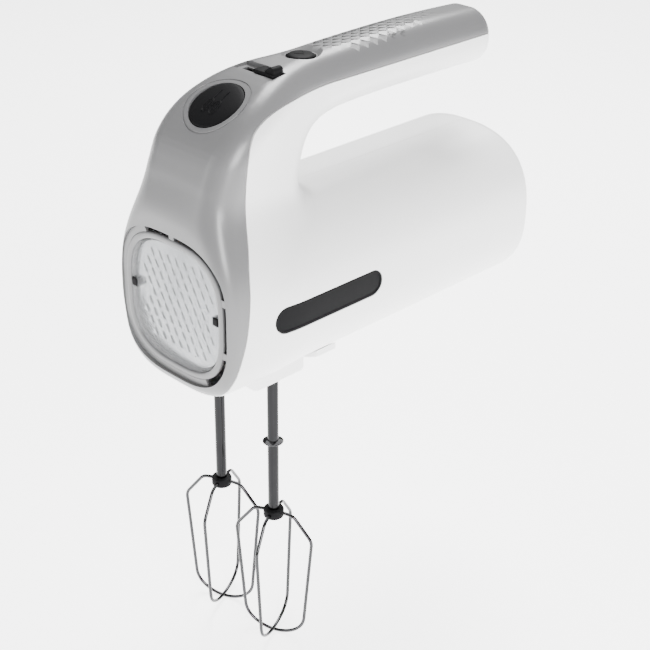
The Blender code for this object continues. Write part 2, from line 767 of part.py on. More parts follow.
def make_gearbox():
    x_half = 30.0
    top = box((-x_half, -14, 199.5), (x_half, 22, 203))
    frame = finish("gearbox_frame", top, "frame_plastic")
    rear = box((-x_half, 18.6, 165), (x_half, 22, 201))
    bottom = box((-x_half, -14, 165), (x_half, 22, 168))
    boolean(frame, "UNION", finish("guide_frame_rear", rear, None, guide=True))
    boolean(frame, "UNION", finish("guide_frame_bottom", bottom, None, guide=True))
    holes = [rod(SPINDLE_R + GAP, (s * AXIS_X, 0, 0), (0, 0, 1), 160, 210, 14)
             for s in (-1, 1)]
    cut(frame, finish("guide_frame_spindles", join(*holes), None, guide=True))
    holes = [rod(7.0, (0, 0, BARREL_Z), (0, 1, 0), 10, 30, 20)]
    holes += [rod(1.9, (s * 24.5, 0, BARREL_Z), (0, 1, 0), 10, 30, 10) for s in (-1, 1)]
    cut(frame, finish("guide_frame_bearing", join(*holes), None, guide=True))
    for name, side in (("left", -1), ("right", 1)):
        make_wheel(name + "_gear", side)
        sleeve = ring(SPINDLE_R, SPINDLE_BORE, (side * AXIS_X, 0, 0), (0, 0, 1),
                      148.8, 203, 14)
        finish(name + "_spindle", sleeve, "steel", (side * AXIS_X, 0, 176))
    make_worm()


# ---- motor ----
def along_y(radius, low, high, steps=24):
    return rod(radius, (0, 0, BARREL_Z), (0, 1, 0), low, high, steps)


def notched(outer, inner, count, share):
    points = []
    for index in range(count):
        middle = math.tau * index / count
        for part, radius in ((-0.5 + share / 2, outer), (0.5 - share / 2, outer),
                             (0.5 - share / 2, inner), (0.5 + share / 2, inner)):
            angle = middle + part * math.tau / count
            points.append((radius * math.cos(angle), BARREL_Z + radius * math.sin(angle)))
    return points


def make_motor():
    shaft = [(0, -12), (1.7, -12), (2.0, -11.6), (2.0, 13), (3.0, 13), (3.0, 116), (0, 116)]
    bm = turned(shaft, (0, 0, BARREL_Z), (0, 1, 0), 16)
    finish("motor_shaft", bm, "steel", (0, 0, BARREL_Z))
    bore = finish("guide_rotor_bore", along_y(3.3, 24, 100, 16), None, guide=True)
    core = finish("armature_core", prism(notched(13.2, 11.6, 12, 0.22), "y", 46, 70),
                  "lamination", (0, 46, BARREL_Z))
    cut(core, bore)
    turns = ((38.5, 40, 45.6, "front_winding"), (77.5, 76, 70.4, "rear_winding"))
    for tip, shoulder, root, name in turns:
        profile = [(3.6, tip), (9, tip), (11.8, shoulder), (11.8, root), (3.6, root)]
        bm = turned(profile, (0, 0, BARREL_Z), (0, 1, 0), 20, closed=True)
        finish(name, bm, "copper", (0, root, BARREL_Z))
    bars = finish("commutator", prism(notched(9.0, 8.4, 12, 0.16), "y", 84, 96),
                  "copper", (0, 84, BARREL_Z))
    cut(bars, bore)
    make_stator()
    make_fan(bore)
    make_brushes()
    bearing = ring(6.7, 3.0 + GAP, (0, 0, BARREL_Z), (0, 1, 0), 18.2, 23.0, 20)
    finish("front_bearing", bearing, "brass")
    bearing = ring(8.0, 3.0 + GAP, (0, 0, BARREL_Z), (0, 1, 0), 103, 110, 20)
    finish("rear_bearing", bearing, "brass")
    bracket = finish("rear_bracket", box((-31, 104.6, 180), (31, 108, 204), 1.0),
                     "frame_plastic")
    hole = finish("guide_bracket_hole", along_y(8.3, 100, 112, 20), None, guide=True)
    cut(bracket, hole)


def make_stator():
    outer = box((-27.5, 45, BARREL_Z - 25), (27.5, 71, BARREL_Z + 25), 2.0)
    core = finish("stator_core", outer, "lamination")
    cuts = [along_y(14.0, 30, 90, 28)]
    for side in (-1, 1):
        cuts.append(rod(1.9, (side * 24.5, 0, BARREL_Z), (0, 1, 0), 30, 90, 10))
    cut(core, finish("guide_stator_bore", join(*cuts), None, guide=True))
    for name, side in (("lower_field_coil", -1), ("upper_field_coil", 1)):
        low, high = sorted((BARREL_Z + side * 14.5, BARREL_Z + side * 20.5))
        coil = finish(name, box((-21, 38.5, low), (21, 77.5, high), 1.2), "copper")
        hole = box((-15.2, 44.4, low - 3), (15.2, 71.6, high + 3))
        cut(coil, finish("guide_hole_" + name, hole, None, guide=True))
        pockets = []
        for flank in (-1, 1):
            a, b = sorted((flank * 14.9, flank * 21.3))
            pockets.append(box((a, 30, low - GAP), (b, 90, high + GAP)))
        cut(core, finish("guide_pocket_" + name, join(*pockets), None, guide=True))
        x = side * 24.5
        profile = [(0, 17.0), (1.5, 17.0), (1.5, 71.6), (3.0, 71.6), (3.0, 74), (0, 74)]
        bm = turned(profile, (x, 0, BARREL_Z), (0, 1, 0), 10)
        finish(("left" if side < 0 else "right") + "_motor_screw", bm, "steel")


def make_fan(bore):
    outline = []
    blades = 7
    for index in range(blades):
        for part, radius in ((-0.42, 6.2), (-0.07, 7.0), (-0.03, 18.6), (0.03, 18.6),
                             (0.07, 7.0)):
            angle = math.tau * (index + part) / blades
            outline.append((radius * math.cos(angle), BARREL_Z + radius * math.sin(angle)))
    fan = finish("cooling_fan", prism(outline, "y", 26, 33), "nylon_gear", (0, 33, BARREL_Z))
    disc = finish("guide_fan_disc", along_y(18.9, 32.4, 34.2, 28), None, guide=True)
    boolean(fan, "UNION", disc)
    cut(fan, bore)


def make_brushes():
    for name, side in (("left", -1), ("right", 1)):
        low, high = sorted((side * 9.4, side * 20.0))
        brush = box((low, 87.5, BARREL_Z - 2.5), (high, 92.5, BARREL_Z + 2.5))
        finish(name + "_brush", brush, "carbon")
        low, high = sorted((side * 12.0, side * 27.0))
        holder = finish(
            name + "_brush_holder",
            box((low, 86.2, BARREL_Z - 3.8), (high, 93.8, BARREL_Z + 3.8)), "brass",
        )
        low, high = sorted((side * 11.0, side * 25.6))
        tunnel = box((low, 87.2, BARREL_Z - 2.8), (high, 92.8, BARREL_Z + 2.8))
        cut(holder, finish("guide_tunnel_" + name, tunnel, None, guide=True))


# ---- beaters ----
def loop_path(angle, bottom, centre_x):
    """A wire loop in an upright plane: out of the hub, down, across and back up."""
    side = fillet([(HUB_R + GAP, 73.9), (10.3, 73.4), (LOOP_R, 60.7), (16.1, 13.3)], 2.6)
    start, end = np.array((16.1, 13.3)), np.array((0.0, bottom))
    first, second = np.array((15.5, 5.2)), np.array((7.5, bottom))
    arc = []
    for t in np.linspace(0, 1, 6)[1:]:
        arc.append((1 - t) ** 3 * start + 3 * (1 - t) ** 2 * t * first
                   + 3 * (1 - t) * t * t * second + t ** 3 * end)
    half = [tuple(p) for p in side] + [tuple(p) for p in arc]
    c, s = math.cos(angle), math.sin(angle)
    whole = half + [(-r, z) for r, z in half[-2::-1]]
    return [(centre_x + r * c, r * s, z) for r, z in whole]


def fillet(points, radius, steps=2):
    """Round each inner corner of a line with a short curve."""
    line = [np.array(point, float) for point in points]
    found = [line[0]]
    for before, corner, after in zip(line, line[1:], line[2:]):
        back, on = before - corner, after - corner
        a = corner + back * min(radius / np.linalg.norm(back), 0.45)
        b = corner + on * min(radius / np.linalg.norm(on), 0.45)
        for t in np.linspace(0, 1, steps + 1):
            found.append((1 - t) ** 2 * a + 2 * (1 - t) * t * corner + t * t * b)
    found.append(line[-1])
    return found


def make_beaters():
    for name, side in (("left", -1), ("right", 1)):
        centre = (side * AXIS_X, 0, 0)
        shaft = [(0, HUB_LOW - 1.2), (1.9, HUB_LOW - 1.2), (SHAFT_R, HUB_LOW - 0.4),
                 (SHAFT_R, 194.5), (1.2, SHAFT_TOP), (0, SHAFT_TOP)]
        bm = turned(shaft, centre, (0, 0, 1), 14)
        finish(name + "_beater_shaft", bm, "chrome_wire", (side * AXIS_X, 0, HUB_LOW))
        hub = [(SHAFT_R + GAP, HUB_LOW), (HUB_R - 0.6, HUB_LOW), (HUB_R, HUB_LOW + 0.7),
               (HUB_R, HUB_HIGH - 0.5), (HUB_R - 0.5, HUB_HIGH), (SHAFT_R + GAP, HUB_HIGH)]
        bm = turned(hub, centre, (0, 0, 1), 20, closed=True)
        finish(name + "_beater_hub", bm, "charcoal_trim", (side * AXIS_X, 0, HUB_LOW))
        turn = math.radians(LOOP_TURN)
        lower = loop_path(turn, WIRE_R, side * AXIS_X)
        upper = loop_path(turn + math.pi / 2, WIRE_R * 3 + 0.35, side * AXIS_X)
        wire(name + "_wire_loop_low", lower, WIRE_R, "chrome_wire",
             (side * AXIS_X, 0, HUB_LOW))
        wire(name + "_wire_loop_high", upper, WIRE_R, "chrome_wire",
             (side * AXIS_X, 0, HUB_LOW))
    flange = [(SHAFT_R + GAP, 113.2), (4.9, 113.6), (5.0, 114.2), (SHAFT_R + GAP, 114.8)]
    bm = turned(flange, (AXIS_X, 0, 0), (0, 0, 1), 20, closed=True)
    finish("right_beater_flange", bm, "chrome_wire", (AXIS_X, 0, 114))


def main():
    clear_scene()
    make_housing()
    make_window()
    make_badges()
    make_case_screws()
    make_base()
    make_eject_button()
    make_turbo_button()
    make_speed_slider()
    make_gearbox()
    make_motor()
    make_beaters()


main()
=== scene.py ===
"""Looks of a hand mixer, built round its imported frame.

Lengths in the shape code are millimetres. x runs across, y runs rearward from the
plane of the two beater axes, and z runs up from the beater tips. `world` moves a point
to the frame's own axes, in metres.
"""

import json
import math

import bmesh
import bpy
import numpy as np
from bpy.props import FloatProperty, FloatVectorProperty, IntProperty, PointerProperty
from mathutils import Matrix, Vector

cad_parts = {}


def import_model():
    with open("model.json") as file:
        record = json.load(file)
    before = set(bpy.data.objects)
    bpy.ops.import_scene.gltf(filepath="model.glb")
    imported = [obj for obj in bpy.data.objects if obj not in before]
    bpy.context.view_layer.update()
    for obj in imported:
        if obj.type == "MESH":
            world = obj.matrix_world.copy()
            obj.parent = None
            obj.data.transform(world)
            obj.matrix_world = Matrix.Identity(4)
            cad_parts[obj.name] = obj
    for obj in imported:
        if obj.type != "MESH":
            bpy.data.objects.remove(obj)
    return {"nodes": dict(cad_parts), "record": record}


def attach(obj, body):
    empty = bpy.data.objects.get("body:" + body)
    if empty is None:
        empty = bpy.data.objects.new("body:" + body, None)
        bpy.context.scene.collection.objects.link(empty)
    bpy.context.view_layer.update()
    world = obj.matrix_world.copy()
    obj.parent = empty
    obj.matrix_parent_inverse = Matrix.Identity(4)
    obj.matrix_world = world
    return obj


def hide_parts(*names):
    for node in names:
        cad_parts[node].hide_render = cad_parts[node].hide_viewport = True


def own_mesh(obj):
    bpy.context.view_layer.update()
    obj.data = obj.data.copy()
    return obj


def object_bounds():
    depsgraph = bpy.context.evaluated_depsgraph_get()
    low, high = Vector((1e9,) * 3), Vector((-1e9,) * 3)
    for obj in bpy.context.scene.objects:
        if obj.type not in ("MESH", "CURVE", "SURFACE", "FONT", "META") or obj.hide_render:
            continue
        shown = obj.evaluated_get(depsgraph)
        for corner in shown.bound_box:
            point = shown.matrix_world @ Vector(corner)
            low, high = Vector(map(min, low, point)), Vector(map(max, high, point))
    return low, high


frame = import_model()
CAD_BOX = [list(corner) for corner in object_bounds()]

bl_info = {
    "name": "Hand mixer looks",
    "version": (1, 0, 0),
    "blender": (4, 5, 0),
    "location": "3D View > Sidebar > Mixer",
    "description": "Builds the outer pieces, finishes and studio of a hand mixer",
    "category": "Add Mesh",
}

# ---- sizes shared with the frame, millimetres ----
BEATER_Y = -57.0  # plane of the beater axes in the part frame
AXIS_X = 19.0  # half of the beater spacing
GAP = 0.3  # play between neighbouring solids

FRONT_Y = -42.5
REAR_Y = 156.5
HANDLE_REAR_Y = 150.0
BARREL_Z = 192.0
BARREL_HALF_WIDTH = 42.3
BARREL_HALF_HEIGHT = 39.3
BARREL_POWER = 2.5
NOSE_TAPER = 4.6
GRIP_HALF_WIDTH = 15.8
COLUMN_EDGE = 12.5
WALL = 2.6

SIDE_OUTER = [(-50, 180), (-47, 215), (-41.4, 238), (-35.8, 254), (-28.6, 267)]
SIDE_OUTER += [(-12.8, 279.6), (10, 288.2), (36.5, 290.6), (80, 291.8)]
SIDE_OUTER += [(120, 291.6), (165, 289.6)]
SIDE_INNER = [(165, 263.4), (100, 264.2), (60, 263.8), (42, 261.8), (30.5, 256.5)]
SIDE_INNER += [(25, 246), (24, 232), (24.5, 180)]
COLUMN_HEIGHTS = (150, 200, 215, 231, 245, 258, 270, 285)
COLUMN_HALF_WIDTHS = (21, 22, 24, 26, 27, 27.4, 28.6, 29.2)
SEAM = [(-38.4, 140), (-38.0, 162), (-36.9, 170), (-33, 186), (-30, 206)]
SEAM += [(-28.2, 217), (-25, 228), (-22.2, 241), (-21.2, 254), (-19.6, 264)]
SEAM += [(-15.9, 271.4), (-9, 276.0), (1, 278.6), (14, 279.5), (40, 279.6), (175, 279.6)]

WINDOW_Z = 193.0
WINDOW_HALF = (29.3, 28.4)
BEZEL_HALF = (32.5, 31.6)
OPENING_HALF = (35.4, 34.6)
WINDOW_POWER = 3.0

SHAFT_R = 2.65
SHAFT_TOP = 197.0
SPINDLE_R = 5.0
HUB_LOW = 71.2
HUB_HIGH = 75.9
HUB_R = 5.0
WIRE_R = 0.85
LOOP_R = 20.1
LOOP_TURN = 22.5  # degrees from the line joining the beaters

EJECT_CENTRE = (0.0, -13.5, 279.2)
EJECT_TILT = 30.0  # degrees forward of straight up
EJECT_R = 12.8
TURBO_Y = 36.4
SLIDER_Y = 11.7
BADGE_Y = (-17.6, 47.2)
BADGE_Z = 190.8
BADGE_R = 6.2

CASE_SCREWS = ((38.0, 163.0), (135.0, 166.0), (138.0, 271.6), (9.0, 245.0))

# ---- sizes of the visible detail, millimetres ----
SKIN_STEP = 2.0  # spacing of the fine housing surface
LINING_STEP = 4.0  # spacing of the inner surface
SCALE_PITCH = 3.0  # spacing of the rows of grip scales along the handle
SCALE_START = 46.5
GRIP_TOP = 288.0  # near the handle's top, where the scales' points start from
INSERT_HALF = (28.4, 27.5)  # leaves a dark line inside the window's rim
RIM_FRONT, RIM_BACK = -41.2, -36.6
RIM_NECK = 0.925  # width of the rim's rear against its front
PANE_FRONT, PANE_BACK = -40.6, -39.6
INSERT_FRONT, INSERT_BACK = -38.6, -36.8
LEDGE_BACK = -39.3
RIB_ANGLES = (25, 90, 335)
LEDGE_ANGLES = (112, 298)
MARK_LIFT = 0.05  # height of a raised mark's middle over its button
SPRINGS = (  # name, node, joint, y, coil radius, low and high ends, wire radius, travel
    ("carrier_spring", "eject_spring", "ejector_travel", 0, 4.4, 204.1, 217.3, 0.5, 4.5),
    ("boost_spring", "turbo_spring", "turbo_press", TURBO_Y, 3.6, 277.4, 283.3, 0.4, 2.6),
)
SHARP = math.radians(32)  # edges bent by more than this stay crisp
SIDES = (-1, 1)
WORDS = (("left", -1), ("right", 1))

# ---- camera, in the frame's axes ----
CAMERA_AT = (0.44529, -0.45234, 0.48492)
CAMERA_AZIMUTH = 44.797
CAMERA_ELEVATION = 28.002
CAMERA_ROLL = 0.581
CAMERA_LENS = 80.67
CAMERA_SENSOR = 36.0

# ---- studio: name, place and size in metres, and watts ----
LIGHTS = (
    ("side_key", (1.1, -0.45, 0.7), (0.45, 0.6), 24.0),
    ("top_key", (-0.35, 0.5, 1.15), (0.5, 0.7), 30.0),
    ("front_fill", (-0.6, -1.0, 0.5), (0.5, 0.8), 4.0),
)
LIGHT_TARGET = (0, 0, 0.2)
FLOOR_HALF = 6000
FLOOR_GLOW = 3.5
SKY_STRENGTH = 0.3


# ---- settings that a user would change ----
def length(name, about, default, low, high):
    return FloatProperty(
        name=name, description=about, default=default, min=low, max=high,
        unit="LENGTH", precision=5,
    )


def tint(name, about, default):
    return FloatVectorProperty(
        name=name, description=about, default=default, min=0, max=1,
        subtype="COLOR", size=3,
    )


class MixerSizes(bpy.types.PropertyGroup):
    seam_gap: length(
        "Seam gap", "Half of the line between fascia and shells", 0.0002, 0.00005, 0.0006
    )
    scale_depth: length(
        "Scale depth", "Depth of each grip scale's front edge", 0.0011, 0.0002, 0.0015
    )
    scale_rows: IntProperty(
        name="Scale rows", description="Rows of grip scales on the handle",
        default=26, min=1, max=28,
    )
    facet_side: length(
        "Facet side", "Side of one raised triangle behind the window",
        0.0046, 0.002, 0.008,
    )
    facet_height: length(
        "Facet height", "How far each triangle stands up", 0.0005, 0.0001, 0.001
    )
    wire_radius: length(
        "Wire radius", "Radius of the beater wire", 0.00085, 0.0006, 0.001
    )


class MixerColours(bpy.types.PropertyGroup):
    shell: tint("Shell", "White moulded shells", (0.86, 0.86, 0.857))
    fascia: tint("Fascia", "Grey front and handle cover", (0.13, 0.13, 0.132))
    trim: tint("Trim", "Charcoal buttons and badges", (0.006, 0.006, 0.0065))
    # Painted reflection: the steel's colour is set very dark so the wires look as if they
    # reflect dark surroundings instead of the bright studio.
    wire: tint("Wire", "Polished steel of the beaters", (0.05, 0.05, 0.052))
    floor: tint("Floor", "Studio floor", (0.9, 0.9, 0.9))


# ---- shader helpers ----
class Value:
    """A shader socket that can be used in sums, which add their own Math nodes."""

    def __init__(self, finish, socket):
        self.finish = finish
        self.socket = socket

    def math(self, operation, *values):
        settings = {"operation": operation}
        return self.finish.node("ShaderNodeMath", settings, dict(enumerate(values)))

    def __add__(self, other):
        return self.math("ADD", self, other)

    def __sub__(self, other):
        return self.math("SUBTRACT", self, other)

    def __rsub__(self, other):
        return self.math("SUBTRACT", other, self)

    def __mul__(self, other):
        return self.math("MULTIPLY", self, other)

    __radd__ = __add__
    __rmul__ = __mul__


class Finish:
    """One material with its Principled shader, and short ways to add nodes to it."""

    def __init__(self, name, **sockets):
        self.material = bpy.data.materials.new(name)
        self.material.use_nodes = True
        self.tree = self.material.node_tree
        self.shader = self.tree.nodes["Principled BSDF"]
        self.set(**sockets)

    def node(self, kind, settings=None, inputs=None, output=0):
        made = self.tree.nodes.new(kind)
        for key, value in (settings or {}).items():
            setattr(made, key, value)
        for key, value in (inputs or {}).items():
            self.plug(made.inputs[key], value)
        return Value(self, made.outputs[output])

    def plug(self, socket, value):
        if isinstance(value, Value):
            self.tree.links.new(value.socket, socket)
        else:
            socket.default_value = value

    def set(self, **sockets):
        for key, value in sockets.items():
            self.plug(self.shader.inputs[key.replace("_", " ")], value)

    def place(self, stretch=(1, 1, 1)):
        here = self.node("ShaderNodeTexCoord", output=3)
        return self.node("ShaderNodeMapping", None, {"Vector": here, "Scale": stretch})

    def noise(self, place, scale, detail=2.0):
        inputs = {"Vector": place, "Scale": scale, "Detail": detail}
        return self.node("ShaderNodeTexNoise", None, inputs)

    def blend(self, factor, first, second):
        inputs = {0: factor, 6: (*first, 1), 7: (*second, 1)}
        return self.node("ShaderNodeMix", {"data_type": "RGBA"}, inputs, output=2)

    def bump(self, height, strength, distance):
        inputs = {"Height": height, "Strength": strength, "Distance": distance}
        return self.node("ShaderNodeBump", None, inputs)


def shade(color, factor):
    return tuple(min(channel * factor, 1.0) for channel in color)


def moulded(name, color, rough, grain=2600.0, depth=0.12, spread=0.025, coat=0.0,
             gleam=0.5):
    """Moulded plastic: slow tone drift, spark-eroded grain and faint sink marks."""
    finish = Finish(name)
    place = finish.place()
    drift = finish.noise(place, 18.0, 3.0)
    fine = finish.noise(place, grain, 2.0)
    dark, light = shade(color, 1 - spread), shade(color, 1 + spread)
    finish.set(
        Base_Color=finish.blend(drift, dark, light),
        Roughness=(drift - 0.5) * 0.08 + (fine - 0.5) * 0.1 + rough,
        Normal=finish.bump(fine, depth, 0.00006),
    )
    finish.shader.inputs["Specular IOR Level"].default_value = gleam
    finish.shader.inputs["Coat Weight"].default_value = coat
    finish.shader.inputs["Coat Roughness"].default_value = 0.25
    return finish.material


def polished(name, color, rough, stretch, streak=0.08):
    """Drawn or ground metal: fine streaks along one direction and slow tarnish."""
    finish = Finish(name, Metallic=1.0)
    lines = finish.noise(finish.place(stretch), 60.0, 3.0)
    tarnish = finish.noise(finish.place(), 90.0, 3.0)
    finish.set(
        Base_Color=finish.blend(tarnish, shade(color, 0.86), shade(color, 1.1)),
        Roughness=(lines - 0.5) * streak + (tarnish - 0.5) * 0.06 + rough,
        Normal=finish.bump(lines, 0.08, 0.00002),
    )
    return finish.material


def clear_pane():
    """Clear plastic that shows the insert behind it, a little hazed by handling."""
    finish = Finish("clear_pane", Metallic=0.0, Alpha=0.06)
    haze = finish.noise(finish.place(), 60.0, 3.0)
    finish.set(
        Base_Color=finish.blend(haze, (0.82, 0.85, 0.88), (0.95, 0.96, 0.97)),
        Roughness=haze * 0.12 + 0.05,
    )
    return finish.material


def frosted_insert():
    """Silvered plastic with a cloudy satin, as seen through the window."""
    finish = Finish("frosted_insert", Metallic=0.8)
    place = finish.place()
    cloud = finish.noise(place, 55.0, 4.0)
    fine = finish.noise(place, 1400.0, 2.0)
    finish.set(
        Base_Color=finish.blend(cloud, (0.15, 0.157, 0.165), (0.36, 0.37, 0.38)),
        Roughness=(cloud - 0.5) * 0.2 + 0.22,
        Normal=finish.bump(fine, 0.15, 0.00005),
    )
    return finish.material


def wound_copper():
    """Windings: fine parallel turns of enamelled wire."""
    finish = Finish("wound_copper", Metallic=0.9)
    place = finish.place()
    turns = finish.node(
        "ShaderNodeTexWave", {"bands_direction": "DIAGONAL"},
        {"Vector": place, "Scale": 320.0, "Distortion": 1.0},
    )
    finish.set(
        Base_Color=finish.blend(turns, (0.42, 0.17, 0.08), (0.78, 0.36, 0.2)),
        Roughness=turns * 0.15 + 0.28,
        Normal=finish.bump(turns, 0.5, 0.0002),
    )
    return finish.material


def stacked_steel():
    """Motor laminations: thin sheets stacked along the shaft."""
    finish = Finish("stacked_steel", Metallic=0.8)
    sheets = finish.node(
        "ShaderNodeTexWave", {"bands_direction": "Y"},
        {"Vector": finish.place(), "Scale": 300.0, "Distortion": 0.0},
    )
    finish.set(
        Base_Color=finish.blend(sheets, (0.16, 0.165, 0.18), (0.34, 0.35, 0.37)),
        Roughness=sheets * 0.1 + 0.42,
        Normal=finish.bump(sheets, 0.4, 0.0001),
    )
    return finish.material


FINISHES = {}


def finish_of(slot):
    """The material of one of the record's slots, made when it is first asked for."""
    if slot in FINISHES:
        return FINISHES[slot]
    colours = bpy.context.scene.mixer_colours
    shell, fascia, trim, wire = (
        tuple(getattr(colours, key)) for key in ("shell", "fascia", "trim", "wire")
    )
    plastics = {
        "white_shell": ("white_satin", shell, 0.36, 3000.0, 0.08, 0.012, 0.2),
        "grey_fascia": ("grey_satin", fascia, 0.34, 2400.0, 0.1, 0.03, 0.15),
        "charcoal_trim": ("charcoal_grain", trim, 0.55, 2000.0, 0.3, 0.1, 0.0, 0.05),
        "carbon": ("pressed_carbon", (0.03, 0.03, 0.03), 0.75, 900.0, 0.5),
        "nylon_gear": ("natural_nylon", (0.78, 0.76, 0.68), 0.45),
        "frame_plastic": ("filled_plastic", (0.06, 0.06, 0.065), 0.55),
        "board_green": ("board_lacquer", (0.02, 0.16, 0.07), 0.35, 500.0),
    }
    metals = {
        # The wire colour here is the dark painted reflection set above.
        "chrome_wire": ("bright_wire", wire, 0.13, (14, 14, 1)),
        # Painted reflection: a darker copy of the wire steel for the shafts, so they look
        # as if they reflect dark surroundings.
        "painted_dark_chrome": ("painted_dark_chrome", shade(wire, 0.4), 0.16, (14, 14, 1)),
        "steel": ("ground_steel", (0.45, 0.45, 0.46), 0.34, (1, 12, 1)),
        "brass": ("plain_brass", (0.7, 0.54, 0.24), 0.36, (1, 10, 1)),
    }
    others = {
        "clear_lens": clear_pane, "silver_plate": frosted_insert,
        "lamination": stacked_steel, "copper": wound_copper,
    }
    if slot in plastics:
        FINISHES[slot] = moulded(*plastics[slot])
    elif slot in metals:
        FINISHES[slot] = polished(*metals[slot])
    else:
        FINISHES[slot] = others[slot]()
    return FINISHES[slot]


# ---- piece helpers ----
def world(point):
    x, y, z = point
    return Vector((x, y + BEATER_Y, z)) * 0.001


def link(name, data):
    obj = bpy.data.objects.new(name, data)
    bpy.context.scene.collection.objects.link(obj)
    return obj


def solid(name, bm):
    """A bmesh in mixer millimetres as an object in the frame's metres."""
    bmesh.ops.recalc_face_normals(bm, faces=bm.faces)
    for vert in bm.verts:
        vert.co = world(vert.co)
    mesh = bpy.data.meshes.new(name)
    bm.to_mesh(mesh)
    bm.free()
    return link(name, mesh)


def stroke(name, points, radius):
    """A round wire through the given points."""
    curve = bpy.data.curves.new(name, "CURVE")
    curve.dimensions = "3D"
    curve.bevel_depth = radius * 0.001
    curve.bevel_resolution = 2
    curve.use_fill_caps = True
    spline = curve.splines.new("POLY")
    spline.points.add(len(points) - 1)
    for spot, point in zip(spline.points, points):
        spot.co = (*world(point), 1.0)
    return link(name, curve)


def carve(obj, operation, *cutters):
    """Apply Booleans to obj one after another, then drop the cutters."""
    for cutter in cutters:
        modifier = obj.modifiers.new("carve", "BOOLEAN")
        modifier.operation = operation
        modifier.object = cutter
        modifier.solver = "MANIFOLD"
    graph = bpy.context.evaluated_depsgraph_get()
    mesh = bpy.data.meshes.new_from_object(obj.evaluated_get(graph))
    obj.modifiers.clear()
    before = obj.data
    obj.data = mesh
    bpy.data.meshes.remove(before)
    for cutter in cutters:
        bpy.data.objects.remove(cutter)
    if not mesh.polygons:
        raise RuntimeError(obj.name + " has no faces left")
    return obj


def put_on(obj, slot, body, *nodes, sharp=SHARP):
    """Give a piece its finish and its body, and hide the frame nodes it stands for."""
    obj.data.materials.clear()
    obj.data.materials.append(finish_of(slot))
    if obj.type == "MESH":
        obj.data.shade_smooth()
        obj.data.set_sharp_from_angle(angle=sharp)
    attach(obj, body)
    if nodes:
        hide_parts(*nodes)
    return obj


# ---- shape helpers, in mixer millimetres ----
def box(low, high, bevel=0.0, steps=1):
    bm = bmesh.new()
    size = [b - a for a, b in zip(low, high)]
    centre = [(a + b) / 2 for a, b in zip(low, high)]
    bmesh.ops.create_cube(bm, size=1.0)
    bmesh.ops.scale(bm, vec=size, verts=bm.verts)
    bmesh.ops.translate(bm, vec=centre, verts=bm.verts)
    if bevel:
        bmesh.ops.bevel(
            bm, geom=bm.edges[:], offset=bevel, segments=steps,
            profile=0.5, affect="EDGES",
        )
    return bm


def join(*parts):
    """One bmesh out of several that don't touch."""
    whole = bmesh.new()
    for part in parts:
        mesh = bpy.data.meshes.new("joined")
        part.to_mesh(mesh)
        part.free()
        whole.from_mesh(mesh)
        bpy.data.meshes.remove(mesh)
    return whole


def turned(profile, centre, axis, steps=24, closed=False):
    """Spin a profile of (radius, height) pairs about an axis through centre."""
    bm = bmesh.new()
    verts = [bm.verts.new((radius, 0, height)) for radius, height in profile]
    pairs = list(zip(verts, verts[1:]))
    if closed:
        pairs.append((verts[-1], verts[0]))
    edges = [bm.edges.new(pair) for pair in pairs]
    bmesh.ops.spin(
        bm, geom=verts + edges, cent=(0, 0, 0), axis=(0, 0, 1),
        angle=math.tau, steps=steps, use_merge=True,
    )
    bmesh.ops.remove_doubles(bm, verts=bm.verts, dist=1e-4)
    turn = Vector((0, 0, 1)).rotation_difference(Vector(axis)).to_matrix().to_4x4()
    bmesh.ops.transform(bm, matrix=Matrix.Translation(centre) @ turn, verts=bm.verts)
    return bm


def rod(radius, centre, axis, low, high, steps=16):
    profile = [(0, low), (radius, low), (radius, high), (0, high)]
    return turned(profile, centre, axis, steps)


def prism(outline, axis, low, high):
    """Extrude an outline along x or y. Its two numbers follow the other axes' order."""
    bm = bmesh.new()
    place = {
        "x": lambda a, b, c: (c, a, b),
        "y": lambda a, b, c: (a, c, b),
    }[axis]
    face = bm.faces.new([bm.verts.new(place(a, b, low)) for a, b in outline])
    made = bmesh.ops.extrude_face_region(bm, geom=[face])
    tops = [item for item in made["geom"] if isinstance(item, bmesh.types.BMVert)]
    bmesh.ops.translate(bm, vec=place(0, 0, high - low), verts=tops)
    return bm


def window_bend(angle):
    """Where the window's rounded square lies at an angle, for a half size of 1."""
    for value in (math.cos(angle), math.sin(angle)):
        yield math.copysign(abs(value) ** (2 / WINDOW_POWER), value)


def window_line(half, steps=96):
    """Points of the window's outline with the given half sizes."""
    bends = [window_bend(math.tau * index / steps) for index in range(steps)]
    return [(half[0] * x, WINDOW_Z + half[1] * z) for x, z in bends]


def cover(bm, rings, around=False):
    """Quads between neighbouring rings of vertices, and back to the first if around."""
    for a, b in zip(rings, rings[1:] + rings[:1] * around):
        for k in range(len(a)):
            n = (k + 1) % len(a)
            bm.faces.new([a[k], a[n], b[n], b[k]])


def side_box(side, near, far, low, high, bevel=0.0, steps=1):
    """A box to the left or right of the middle plane, given its y and z limits."""
    left, right = sorted((side * near, side * far))
    return box((left, *low), (right, *high), bevel, steps)


def smooth_line(points, steps):
    """Points of a Catmull-Rom curve through the given ones."""
    base = np.array(points, float)
    ends = [2 * base[0] - base[1]], [2 * base[-1] - base[-2]]
    base = np.vstack([ends[0], base, ends[1]])
    found = []
    for index in range(1, len(base) - 2):
        a, b, c, d = base[index - 1:index + 3]
        for t in np.arange(steps) / steps:
            bend = (2 * a - 5 * b + 4 * c - d) * t * t + (3 * b - a - 3 * c + d) * t ** 3
            found.append((2 * b + (c - a) * t + bend) / 2)
    found.append(base[-2])
    return np.array(found)


def helix(radius, low, high, turns=3, per_turn=24):
    """Points of a coil about an upright axis."""
    count = turns * per_turn
    for index in range(count + 1):
        angle = math.tau * index / per_turn
        height = low + (high - low) * index / count
        yield radius * math.cos(angle), radius * math.sin(angle), height


# ---- housing surface ----
def round_max(a, b, radius):
    """Intersection of two signed distances with a rounded edge."""
    u = np.maximum(a + radius, 0)
    v = np.maximum(b + radius, 0)
    return np.hypot(u, v) - radius + np.minimum(np.maximum(a, b) + radius, 0)


